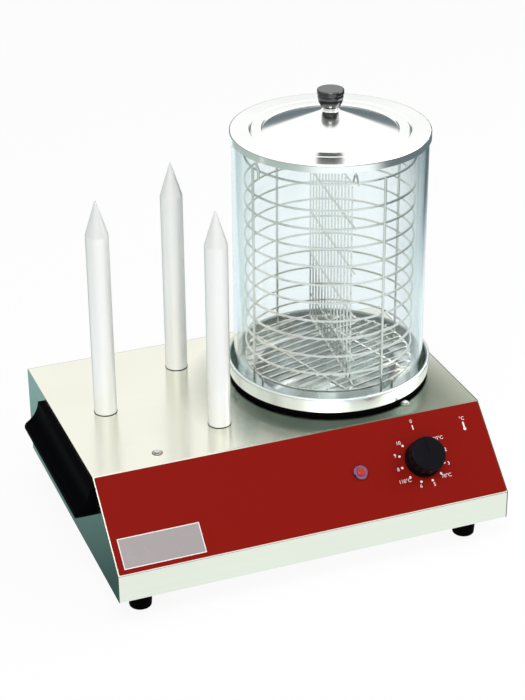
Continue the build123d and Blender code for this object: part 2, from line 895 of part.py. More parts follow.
# Lid knob on its steel neck, held by a screw from inside the lid
with BuildPart() as lid_knob_neck:
    with BuildSketch(Plane.XY.offset(crown_top)):
        with Locations((bowl_x, bowl_y)):
            Circle(neck_radius)
            Circle(stud_radius + hole_clearance, mode=Mode.SUBTRACT)
    extrude(amount=neck_height)
save(lid_knob_neck, "lid_knob_neck")

with BuildPart() as lid_knob:
    with BuildSketch(bowl_section) as knob_section:
        with BuildLine():
            Polyline(
                (stud_radius + running_gap, neck_top),
                (lid_knob_foot_radius, neck_top),
            )
            ThreePointArc(
                (lid_knob_foot_radius, neck_top),
                (lid_knob_belly_radius, neck_top + lid_knob_belly_rise),
                (lid_knob_waist_radius, neck_top + lid_knob_height - lid_knob_band),
            )
            Polyline(
                (lid_knob_waist_radius, neck_top + lid_knob_height - lid_knob_band),
                (lid_knob_radius, neck_top + lid_knob_height - lid_knob_band),
                (lid_knob_radius, neck_top + lid_knob_height),
                (0, neck_top + lid_knob_height),
                (0, neck_top + lid_knob_screw_reach + blind_end),
                (stud_radius + running_gap, neck_top + lid_knob_screw_reach + blind_end),
                (stud_radius + running_gap, neck_top),
            )
        make_face()
        lip_corner = knob_section.vertices().sort_by(Axis.X)[-2:].sort_by(Axis.Y)[0]
        fillet(lip_corner, lid_knob_lip_round)
        rim_corner = knob_section.vertices().sort_by(Axis.X)[-2:].sort_by(Axis.Y)[-1]
        fillet(rim_corner, lid_knob_round)
    revolve(axis=bowl_axis)
save(lid_knob, "lid_knob")

crown_under = crown_top - lid_sheet
with BuildPart() as lid_knob_screw:
    with BuildSketch(down(bowl_x, bowl_y, crown_under)):
        Circle(stud_nut_radius)
    extrude(amount=lid_screw_head_height, taper=head_taper)
    with BuildSketch(up(bowl_x, bowl_y, crown_under)):
        Circle(stud_radius)
    extrude(amount=lid_sheet + neck_height + lid_knob_screw_reach)
save(lid_knob_screw, "lid_knob_screw")

# Wire basket: hoops, uprights, rack and divider
bottom_hoop_z = tray_floor + bottom_hoop_height
hoop_heights = [bottom_hoop_z + i * hoop_pitch for i in range(hoop_count)]
top_hoop_z = hoop_heights[-1] + top_hoop_gap
hoop_centre_radius = hoop_radius - hoop_wire / 2
with BuildPart() as basket_hoops:
    with BuildSketch(bowl_section):
        with Locations(*[(hoop_centre_radius, z) for z in [*hoop_heights, top_hoop_z]]):
            Rectangle(hoop_wire, hoop_wire)
    revolve(axis=bowl_axis)
save(basket_hoops, "basket_hoops")

# Uprights stand outside the hoops, and each turns into a looped foot on the tray floor
upright_radius = hoop_radius + wire_gap + upright_wire / 2
upright_foot_z = tray_floor + seat_gap + upright_wire / 2
upright_top_z = top_hoop_z + hoop_wire / 2


def basket_point(turn, radius, z):
    """A point beside the basket, from its plan angle, its radius and its height."""
    return Vector(bowl_x + radius * cos(radians(turn)), bowl_y + radius * sin(radians(turn)), z)


def wire_path(points, bend):
    """The middle line of a bent wire: straight runs joined by bends."""
    with BuildLine() as path:
        FilletPolyline(*points, radius=bend)
    return path.line


upright_paths = [
    wire_path(
        [
            basket_point(turn, upright_radius, upright_top_z),
            basket_point(turn, upright_radius, upright_foot_z),
            basket_point(turn + foot_loop_angle, upright_radius, upright_foot_z),
            basket_point(turn + foot_loop_angle, upright_radius, upright_foot_z + foot_loop_height),
        ],
        foot_loop_bend,
    )
    for turn in upright_angles.values()
]
lug_paths = [
    wire_path(
        [
            basket_point(turn, upright_radius, top_hoop_z - lug_drop),
            basket_point(turn, upright_radius, top_hoop_z + hoop_wire),
            basket_point(turn, upright_radius + lug_lean, top_hoop_z + lug_rise),
        ],
        foot_loop_bend,
    )
    for turn in lug_angles.values()
]
with BuildPart() as basket_uprights:
    for path in upright_paths + lug_paths:
        with BuildSketch(Plane(path @ 0, z_dir=path % 0)):
            Circle(upright_wire / 2)
        sweep(path=path)
save(basket_uprights, "basket_uprights")

# Rack: parallel wires resting on the bottom hoop, over two crossbars inside it
rack_plane = Plane(
    origin=(bowl_x, bowl_y, bottom_hoop_z + hoop_wire / 2 + wire_gap),
    x_dir=(cos(radians(rack_angle)), sin(radians(rack_angle)), 0),
    z_dir=(0, 0, 1),
)
hoop_inner_radius = hoop_radius - hoop_wire
with BuildPart() as basket_rack:
    with BuildSketch(rack_plane):
        for i in range(rack_bars):
            across = (i - (rack_bars - 1) / 2) * rack_pitch
            chord = 2 * sqrt(hoop_centre_radius**2 - across**2)
            with Locations((0, across)):
                Rectangle(chord, rack_wire)
    extrude(amount=rack_wire)
    with BuildSketch(rack_plane.offset(weld_bite)):
        crossbar_reach = hoop_inner_radius - 4 * wire_gap
        crossbar_length = 2 * sqrt(crossbar_reach**2 - (rack_crossbar_offset + rack_wire / 2) ** 2)
        with Locations((-rack_crossbar_offset, 0), (rack_crossbar_offset, 0)):
            Rectangle(rack_wire, crossbar_length)
    extrude(amount=-rack_wire)
save(basket_rack, "basket_rack")

# Divider: a grille of upright and level wires that hangs from the top hoop by two hooks
divider_foot_z = rack_plane.origin.Z + rack_wire + wire_gap
divider_top_z = top_hoop_z - divider_below_top
divider_height = divider_top_z - divider_foot_z
divider_reach = hoop_inner_radius - divider_end_gap
divider_plane = Plane(
    origin=(bowl_x, bowl_y, divider_foot_z),
    x_dir=(cos(radians(divider_angle)), sin(radians(divider_angle)), 0),
    z_dir=(sin(radians(divider_angle)), -cos(radians(divider_angle)), 0),
)
hoop_up = top_hoop_z - divider_foot_z
divider_level_heights = [
    divider_wire / 2,
    *[divider_first_level + i * divider_level_pitch for i in range(divider_levels)],
]
with BuildPart() as basket_divider:
    with BuildSketch(divider_plane):
        with Locations((0, divider_height / 2)):
            with GridLocations(divider_pitch, 1, divider_bars, 1):
                Rectangle(divider_wire, divider_height)
    extrude(amount=divider_wire)
    with BuildSketch(divider_plane.offset(divider_wire - weld_bite)):
        for level in divider_level_heights:
            with Locations((0, level)):
                Rectangle(2 * divider_reach, divider_wire)
        # The top wire runs up, over the hoop and down outside it at both ends
        with BuildLine():
            FilletPolyline(
                (-hoop_radius - divider_hook_out, hoop_up - divider_hook_drop),
                (-hoop_radius + divider_hook_in, hoop_up + divider_hook_rise),
                (-divider_reach + divider_pitch, divider_height),
                (divider_reach - divider_pitch, divider_height),
                (hoop_radius - divider_hook_in, hoop_up + divider_hook_rise),
                (hoop_radius + divider_hook_out, hoop_up - divider_hook_drop),
                radius=2 * divider_wire,
            )
            offset(amount=divider_wire, side=Side.LEFT)
        make_face()
    extrude(amount=divider_wire)
save(basket_divider, "basket_divider")

# Indicator lamp in the sloped panel
lamp_spot = overlay_plane * Location((lamp_x, lamp_up, 0))
lamp_plane = Plane(lamp_spot)
lamp_axis = Axis(lamp_plane.origin, lamp_plane.z_dir)
lamp_inside = lamp_plane.offset(-overlay_thickness - sheet)
with BuildPart() as lamp_body:
    with BuildSketch(lamp_plane):
        Circle(lamp_bezel_radius)
    extrude(amount=lamp_bezel_height)
    chamfer(lamp_body.edges().filter_by(GeomType.CIRCLE).group_by(Axis.Z)[-1], lamp_bezel_chamfer)
    with BuildSketch(lamp_plane):
        Circle(lamp_body_radius)
    extrude(amount=-(overlay_thickness + sheet + lamp_body_depth))
    with BuildSketch(lamp_plane.offset(lamp_bezel_height)):
        Circle(lamp_lens_radius)
    extrude(amount=-lamp_bezel_height, mode=Mode.SUBTRACT)
save(lamp_body, "lamp_body")

with BuildPart() as lamp_lens:
    with BuildSketch(lamp_plane):
        Circle(lamp_lens_radius - wire_gap)
    extrude(amount=lamp_bezel_height + lamp_lens_rise)
    lens_rim = lamp_lens.faces().sort_by(lamp_axis)[-1].edges()
    fillet(lens_rim, lamp_lens_round)
save(lamp_lens, "lamp_lens")

lamp_nut_plane = Plane(lamp_inside.origin, x_dir=lamp_inside.x_dir, z_dir=-lamp_inside.z_dir)
lamp_nut = nuts([lamp_nut_plane], lamp_nut_radius, lamp_body_radius + running_gap, lamp_nut_height)
save(lamp_nut, "lamp_nut")

# Thermostat behind the sloped panel, with its two screws
knob_seat = Plane(overlay_plane * Location((knob_x, knob_up, 0)))
thermostat_face = knob_seat.offset(-overlay_thickness - sheet)
with BuildPart() as thermostat_body:
    with BuildSketch(thermostat_face):
        RectangleRounded(thermostat_width, thermostat_height, thermostat_corner)
    extrude(amount=-thermostat_depth)
    with BuildSketch(thermostat_face):
        Circle(shaft_radius + running_gap)
    extrude(amount=-(shaft_in_body + blind_end), mode=Mode.SUBTRACT)
    with BuildSketch(thermostat_face):
        with GridLocations(thermostat_screw_spacing, 1, 2, 1):
            Circle(small_screw_radius + running_gap)
    extrude(amount=-(thermostat_screw_depth + blind_end), mode=Mode.SUBTRACT)
save(thermostat_body, "thermostat_body")

thermostat_screws = screws(
    [
        Plane(slope_plane * Location((x, s, 0)))
        for x, s in thermostat_screws_at
    ],
    sheet + thermostat_screw_depth,
)
save(thermostat_screws, "thermostat_screws")

# Capillary and probe: the probe stands against the wall of the well
probe_turn = radians(probe_angle)
probe_z = well_floor + probe_rise
well_slant = (well_radius - well_bottom_radius) / well_depth
wall_there = well_bottom_radius + (probe_rise + probe_length) * well_slant
probe_reach = wall_there + bowl_sheet * hypot(1, well_slant) + probe_radius + running_gap
probe_x = bowl_x + probe_reach * cos(probe_turn)
probe_y = bowl_y + probe_reach * sin(probe_turn)
thermostat_back = thermostat_face.offset(-thermostat_depth)
capillary_exit = Vector(0, thermostat_height / 4, 0)
capillary = wire_path(
    [
        thermostat_back.from_local_coords(capillary_exit),
        thermostat_back.offset(-probe_lead).from_local_coords(capillary_exit),
        (probe_x, probe_y, probe_z - probe_lead),
        (probe_x, probe_y, probe_z + cut_past),
    ],
    capillary_bend,
)
with BuildPart() as thermostat_probe:
    with BuildSketch(up(probe_x, probe_y, probe_z)):
        Circle(probe_radius)
    extrude(amount=probe_length)
    with BuildSketch(Plane(capillary @ 0, z_dir=capillary % 0)):
        Circle(capillary_radius)
    sweep(path=capillary)
save(thermostat_probe, "thermostat_probe")

# Shaft with a flat, turning with the knob
with BuildPart() as thermostat_shaft:
    with BuildSketch(thermostat_face.offset(-shaft_in_body)):
        Circle(shaft_radius)
    extrude(amount=shaft_in_body + sheet + overlay_thickness + knob_gap + knob_hollow + shaft_in_knob)
    with BuildSketch(knob_seat.offset(knob_gap + knob_hollow)):
        with Locations((0, shaft_flat)):
            Rectangle(2 * shaft_radius, shaft_radius, align=(Align.CENTER, Align.MIN))
    extrude(amount=shaft_in_knob, mode=Mode.SUBTRACT)
save(thermostat_shaft, "thermostat_shaft")

# Control knob: round grip on a wider skirt, hollow below, with a pointer groove to the rim
with BuildPart() as control_knob:
    with BuildSketch(knob_seat.offset(knob_gap)):
        Circle(knob_radius)
    extrude(amount=knob_skirt_height)
    with BuildSketch(knob_seat.offset(knob_gap + knob_skirt_height)):
        Circle(knob_top_radius)
    extrude(amount=knob_height - knob_skirt_height)
    knob_axis = Axis(knob_seat.origin, knob_seat.z_dir)
    fillet(control_knob.edges().group_by(knob_axis)[-1], knob_edge_round)
    with BuildSketch(knob_seat.offset(knob_gap + knob_height)):
        Rectangle(knob_pointer_width, knob_top_radius, align=(Align.CENTER, Align.MIN))
    extrude(amount=-knob_pointer_depth, mode=Mode.SUBTRACT)
    with BuildSketch(knob_seat.offset(knob_gap)):
        Circle(knob_radius - knob_wall)
    extrude(amount=knob_hollow, mode=Mode.SUBTRACT)
    with BuildSketch(knob_seat.offset(knob_gap + knob_hollow)):
        Circle(shaft_radius + running_gap)
        with Locations((0, shaft_flat + running_gap)):
            Rectangle(4 * shaft_radius, shaft_radius, align=(Align.CENTER, Align.MIN), mode=Mode.SUBTRACT)
    extrude(amount=shaft_in_knob, mode=Mode.SUBTRACT)
save(control_knob, "control_knob")

# Cable gland in the back panel, its locknut, and the terminal block inside
gland_z = housing_bottom + gland_up
gland_plane = Plane(origin=(gland_x, back_y, gland_z), x_dir=(-1, 0, 0), z_dir=(0, 1, 0))
with BuildPart() as cable_gland:
    with BuildSketch(gland_plane):
        RegularPolygon(gland_flange_radius, 6)
    extrude(amount=gland_flange_height)
    with BuildSketch(gland_plane.offset(gland_flange_height)):
        Circle(gland_nut_radius)
    extrude(amount=gland_reach - gland_flange_height)
    outer_rim = cable_gland.edges().filter_by(GeomType.CIRCLE).group_by(Axis.Y)[-1]
    fillet(outer_rim, gland_round)
    with BuildSketch(gland_plane):
        Circle(gland_thread_radius)
    extrude(amount=-(sheet + gland_thread_depth))
    with BuildSketch(gland_plane.offset(gland_reach)):
        Circle(gland_bore_radius)
    extrude(amount=-(gland_reach + sheet + gland_thread_depth), mode=Mode.SUBTRACT)
save(cable_gland, "cable_gland")

locknut_plane = Plane(origin=(gland_x, back_y - sheet, gland_z), x_dir=(1, 0, 0), z_dir=(0, -1, 0))
gland_locknut = nuts(
    [locknut_plane], gland_flange_radius, gland_thread_radius + running_gap, locknut_height
)
save(gland_locknut, "gland_locknut")

terminal_y = back_y - terminal_setback
with BuildPart() as terminal_block:
    with BuildSketch(Plane.XY.offset(base_top)):
        with Locations((gland_x, terminal_y)):
            RectangleRounded(terminal_length, terminal_width, terminal_corner)
    extrude(amount=terminal_height)
    with BuildSketch(Plane.XY.offset(base_top + terminal_height)):
        with Locations((gland_x, terminal_y)):
            with GridLocations(terminal_length / terminal_ways, terminal_width / 2, terminal_ways, 2):
                Circle(terminal_hole_radius)
    extrude(amount=-terminal_hole_depth, mode=Mode.SUBTRACT)
save(terminal_block, "terminal_block")
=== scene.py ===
import json
import math

import bmesh
import bpy
from bpy.props import FloatProperty, FloatVectorProperty, PointerProperty
from mathutils import Matrix, Vector


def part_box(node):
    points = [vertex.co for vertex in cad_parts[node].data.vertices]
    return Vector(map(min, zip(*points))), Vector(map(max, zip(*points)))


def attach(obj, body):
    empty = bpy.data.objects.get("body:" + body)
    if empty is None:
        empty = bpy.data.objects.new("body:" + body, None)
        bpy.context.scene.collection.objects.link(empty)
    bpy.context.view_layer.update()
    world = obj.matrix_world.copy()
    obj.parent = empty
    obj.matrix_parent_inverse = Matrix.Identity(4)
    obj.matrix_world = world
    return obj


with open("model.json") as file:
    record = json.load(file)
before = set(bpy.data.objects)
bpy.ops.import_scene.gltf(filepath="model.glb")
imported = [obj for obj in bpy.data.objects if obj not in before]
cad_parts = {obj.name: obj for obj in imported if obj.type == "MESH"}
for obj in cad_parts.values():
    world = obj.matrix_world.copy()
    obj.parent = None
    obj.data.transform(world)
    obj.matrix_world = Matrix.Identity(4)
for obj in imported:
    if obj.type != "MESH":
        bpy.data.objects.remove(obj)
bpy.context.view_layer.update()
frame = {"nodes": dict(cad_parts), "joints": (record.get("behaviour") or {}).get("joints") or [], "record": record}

bl_info = {
    "name": "Hot Dog Machine",
    "version": (1, 0, 0),
    "blender": (4, 5, 0),
    "location": "View3D > Sidebar > Hot Dog Machine",
    "description": "Finishes, dial print, stage and camera for a hot dog machine with a glass cylinder",
    "category": "Add Mesh",
}

MM = 0.001
WHITE = (1, 1, 1)
# Plain moulded skin, unless a material says otherwise
PEBBLES_PER_METRE = 1400.0
# Width over which a shade fades out, below the deck's top and inside the tray's rim
SHADE_FADE = 1 * MM
# Height of a capital letter as a share of the font's size, and half its width as a share of its height
CAPITAL_SHARE = 0.7
HALF_LETTER_SHARE = 0.28
# Points that are further apart than this belong to different deck screws
SCREW_SPACING = 20 * MM


def from_screen(red, green, blue):
    """A colour as it looks on a screen, from 0 to 255, as the linear colour that shaders use."""
    shares = (red / 255, green / 255, blue / 255)
    return tuple(
        share / 12.92 if share <= 0.04045 else ((share + 0.055) / 1.055) ** 2.4 for share in shares
    )


# Places read from the frame
joints = {joint["name"]: joint for joint in frame["joints"]}
slope_normal = Vector(joints["knob_turn"]["axis"]).normalized()
across_slope = Vector((1, 0, 0))
up_slope = slope_normal.cross(across_slope)
overlay_points = [vertex.co.copy() for vertex in frame["nodes"]["front_overlay"].data.vertices]
overlay_height = max(point.dot(slope_normal) for point in overlay_points)
overlay_foot = min(point.dot(up_slope) for point in overlay_points)
overlay_left = min(point.x for point in overlay_points)
overlay_right = max(point.x for point in overlay_points)
knob_centre = sum(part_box("control_knob"), Vector()) / 2
lid_knob_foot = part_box("lid_knob")[0].z
deck_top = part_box("top_cover")[1].z
bowl_low, bowl_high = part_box("water_bowl")
bowl_centre = ((bowl_low.x + bowl_high.x) / 2, (bowl_low.y + bowl_high.y) / 2, 0)
bowl_radius = (bowl_high.x - bowl_low.x) / 2
glass_low, glass_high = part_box("glass_cylinder")
glass_radius = (glass_high.x - glass_low.x) / 2


class HotDogFinishes(bpy.types.PropertyGroup):
    """Colours of the machine's materials, and where shade is painted into them."""

    # Painted shadow and painted reflection of the tray on the deck before it, seen only by the camera
    painted_bowl_shade: FloatVectorProperty(
        name="Shade at the bowl",
        description="Share of each colour that the deck keeps beside the bowl",
        subtype="COLOR", min=0, max=1, default=(0.20, 0.24, 0.21),
    )
    shade_shift: FloatVectorProperty(
        name="Shade shift",
        description="Where the middle of the darkened deck stands from the bowl's axis",
        subtype="TRANSLATION", size=2, default=(-12 * MM, -34 * MM),
    )
    shade_reach: FloatVectorProperty(
        name="Shade reach",
        description="Distances from its middle where the shade starts to fade and where it ends",
        subtype="TRANSLATION", size=2, default=(88 * MM, 150 * MM),
    )
    # Painted shade at the deck's front right end, seen only by the camera
    painted_right_shade: FloatVectorProperty(
        name="Shade to the right",
        description="Share of each colour that the deck keeps at its right end",
        subtype="COLOR", min=0, max=1, default=(0.46, 0.50, 0.43),
    )
    right_reach: FloatVectorProperty(
        name="Right shade reach", description="From where to where the deck darkens to the right",
        subtype="TRANSLATION", size=2, default=(110 * MM, 175 * MM),
    )
    corner_reach: FloatVectorProperty(
        name="Corner shade reach",
        description="From where to where the right end darkens to the front",
        subtype="TRANSLATION", size=2, default=(10 * MM, -90 * MM),
    )
    # Painted shade on the tray's floor between the glass and the rim
    painted_tray_shade: FloatVectorProperty(
        name="Shade in the tray",
        description="Share of each colour that the tray's floor keeps outside the glass",
        subtype="COLOR", min=0, max=1, default=(0.42, 0.47, 0.42),
    )
    tray_fade: FloatProperty(
        name="Tray shade fade",
        description="Width inside the glass over which the tray's shade fades out",
        subtype="DISTANCE", default=4 * MM,
    )
    # Painted shade on the bare strip right of the red panel
    painted_edge_shade: FloatVectorProperty(
        name="Shade at the edge",
        description="Share of each colour that the bare strip right of the panel keeps",
        subtype="COLOR", min=0, max=1, default=(0.12, 0.11, 0.07),
    )
    strip_fade: FloatProperty(
        name="Strip fade",
        description="Width over which the strip's shade starts beside the red panel",
        subtype="DISTANCE", default=0.3 * MM,
    )
    sheet_steel: FloatVectorProperty(
        name="Sheet steel", description="Brushed stainless sheet of the housing",
        subtype="COLOR", min=0, max=1, default=from_screen(236, 236, 222),
    )
    bowl_steel: FloatVectorProperty(
        name="Bowl steel", description="Satin spun steel of the water bowl",
        subtype="COLOR", min=0, max=1, default=from_screen(231, 238, 237),
    )
    polished_steel: FloatVectorProperty(
        name="Polished steel", description="Mirror-polished steel of the lid",
        subtype="COLOR", min=0, max=1, default=from_screen(252, 253, 250),
    )
    washer_steel: FloatVectorProperty(
        name="Washer steel", description="Browned edge of the washers under the deck screws",
        subtype="COLOR", min=0, max=1, default=from_screen(128, 112, 88),
    )
    spike_aluminium: FloatVectorProperty(
        name="Spike aluminium", description="Satin anodised aluminium of the spikes",
        subtype="COLOR", min=0, max=1, default=from_screen(253, 254, 251),
    )
    spike_metal: FloatProperty(
        name="Spike metal", description="How metallic the spikes' anodised skin is, from 0 to 1",
        default=0.35,
    )
    # Painted shade on the spikes' edges where they curve out of sight
    painted_spike_edge: FloatVectorProperty(
        name="Spike edge",
        description="Share of each colour that a spike keeps where it curves out of sight",
        subtype="COLOR", min=0, max=1, default=(0.55, 0.64, 0.62),
    )
    basket_wire: FloatVectorProperty(
        name="Basket wire", description="Bright drawn wire of the basket",
        subtype="COLOR", min=0, max=1, default=from_screen(232, 234, 228),
    )
    fastener_steel: FloatVectorProperty(
        name="Fastener steel", description="Plain steel of screws and nuts",
        subtype="COLOR", min=0, max=1, default=from_screen(214, 214, 206),
    )
    heater_steel: FloatVectorProperty(
        name="Heater steel", description="Heat-tinted sheath of the heaters",
        subtype="COLOR", min=0, max=1, default=from_screen(122, 112, 98),
    )
    spreader_aluminium: FloatVectorProperty(
        name="Spreader aluminium", description="Milled aluminium of the heat spreader plate",
        subtype="COLOR", min=0, max=1, default=from_screen(205, 207, 206),
    )
    red_panel: FloatVectorProperty(
        name="Red panel", description="Printed film on the sloped panel",
        subtype="COLOR", min=0, max=1, default=from_screen(136, 22, 15),
    )
    print_white: FloatVectorProperty(
        name="White print", description="Ink of the dial, the signs and the label's line",
        subtype="COLOR", min=0, max=1, default=from_screen(246, 243, 238),
    )
    label_grey: FloatVectorProperty(
        name="Label grey", description="Field of the blank label",
        subtype="COLOR", min=0, max=1, default=from_screen(158, 151, 151),
    )
    glass_tint: FloatVectorProperty(
        name="Glass tint", description="Slight blue-green tint of the glass",
        subtype="COLOR", min=0, max=1, default=from_screen(249, 250, 250),
    )
    glass_edge: FloatVectorProperty(
        name="Glass edge", description="Blue-green of the glass where its wall is seen edge on",
        subtype="COLOR", min=0, max=1, default=from_screen(222, 240, 242),
    )
    # Also colours the thin dark rings round the spikes' feet
    black_rubber: FloatVectorProperty(
        name="Black rubber", description="Feet, the ring under the tray and the spikes' seats",
        subtype="COLOR", min=0, max=1, default=from_screen(8, 8, 8),
    )
    black_plastic: FloatVectorProperty(
        name="Black plastic", description="Lift handle, lid knob and cable gland",
        subtype="COLOR", min=0, max=1, default=from_screen(5, 5, 7),
    )
    knob_plastic: FloatVectorProperty(
        name="Knob plastic", description="Blue-black plastic of the control knob",
        subtype="COLOR", min=0, max=1, default=from_screen(12, 12, 18),
    )
    grey_plastic: FloatVectorProperty(
        name="Grey plastic", description="Thermostat case and terminal block",
        subtype="COLOR", min=0, max=1, default=from_screen(196, 194, 186),
    )
    lamp_bezel: FloatVectorProperty(
        name="Lamp bezel", description="Violet-grey plated ring of the indicator lamp",
        subtype="COLOR", min=0, max=1, default=from_screen(120, 98, 126),
    )
    red_lens: FloatVectorProperty(
        name="Red lens", description="Clear red lens of the indicator lamp",
        subtype="COLOR", min=0, max=1, default=from_screen(205, 34, 26),
    )
    copper: FloatVectorProperty(
        name="Copper", description="Capillary tube and probe of the thermostat",
        subtype="COLOR", min=0, max=1, default=from_screen(196, 118, 82),
    )


class HotDogPrint(bpy.types.PropertyGroup):
    """Sizes of what is printed on the sloped panel, and of the thin rings on the deck."""

    # The thin dark ring round each spike's foot
    foot_ring_edge: FloatProperty(
        name="Seat edge", description="How far the dark seat stands out from under a spike",
        subtype="DISTANCE", default=0.35 * MM,
    )
    seat_height: FloatProperty(
        name="Seat height", description="How far the dark seat shows above the deck",
        subtype="DISTANCE", default=0.5 * MM,
    )
    washer_radius: FloatProperty(
        name="Washer radius", description="Radius of the washers under the deck screws",
        subtype="DISTANCE", default=5.2 * MM,
    )
    washer_edge: FloatProperty(
        name="Washer edge", description="Width of the browned edge of the washers",
        subtype="DISTANCE", default=0.9 * MM,
    )
    ink: FloatProperty(
        name="Ink thickness", description="How far the ink stands on the panel",
        subtype="DISTANCE", default=0.05 * MM,
    )
    dot_ring: FloatProperty(
        name="Dot ring", description="Radius of the ring of dots round the knob",
        subtype="DISTANCE", default=22.4 * MM,
    )
    dot_radius: FloatProperty(
        name="Dot radius", description="Radius of one dial dot",
        subtype="DISTANCE", default=1.2 * MM,
    )
    first_turn: FloatProperty(
        name="First dot", description="Turn of the first dot, clockwise from the top",
        subtype="ANGLE", default=math.radians(49.8),
    )
    last_turn: FloatProperty(
        name="Last dot", description="Turn of the last dot, clockwise from the top",
        subtype="ANGLE", default=math.radians(318.6),
    )
    dial_shift: FloatProperty(
        name="Dial shift",
        description="How far the printed dial stands to the right of the knob's centre",
        subtype="DISTANCE", default=-0.9 * MM,
    )
    number_ring: FloatProperty(
        name="Number ring", description="Radius on which the numbers stand",
        subtype="DISTANCE", default=26.8 * MM,
    )
    number_height: FloatProperty(
        name="Number height", description="Height of the dial numbers",
        subtype="DISTANCE", default=3.5 * MM,
    )
    zero_rise: FloatProperty(
        name="Zero rise", description="Height of the 0 above the knob's centre",
        subtype="DISTANCE", default=38.9 * MM,
    )
    tick_rise: FloatProperty(
        name="Tick rise", description="Height of the tick's middle above the knob's centre",
        subtype="DISTANCE", default=32.7 * MM,
    )
    tick_length: FloatProperty(
        name="Tick length", description="Length of the tick below the 0",
        subtype="DISTANCE", default=4.6 * MM,
    )
    sign_place: FloatVectorProperty(
        name="Sign place", description="Middle of the thermometer sign, from the knob's centre",
        subtype="TRANSLATION", size=2, default=(51.7 * MM, 24.7 * MM),
    )
    sign_stem: FloatProperty(
        name="Thermometer stem", description="Length of the stem of the thermometer sign",
        subtype="DISTANCE", default=7.0 * MM,
    )
    sign_bulb: FloatProperty(
        name="Thermometer bulb", description="Radius of the sign's bulb, and width of its stem",
        subtype="DISTANCE", default=1.6 * MM,
    )
    label_low: FloatVectorProperty(
        name="Label corner",
        description="Lower left corner of the blank label, from the panel's corner",
        subtype="TRANSLATION", size=2, default=(5.8 * MM, 4.2 * MM),
    )
    label_size: FloatVectorProperty(
        name="Label size", description="Width and height of the blank label",
        subtype="TRANSLATION", size=2, default=(78.3 * MM, 29.0 * MM),
    )
    label_border: FloatProperty(
        name="Label border", description="Width of the white line round the label",
        subtype="DISTANCE", default=0.8 * MM,
    )


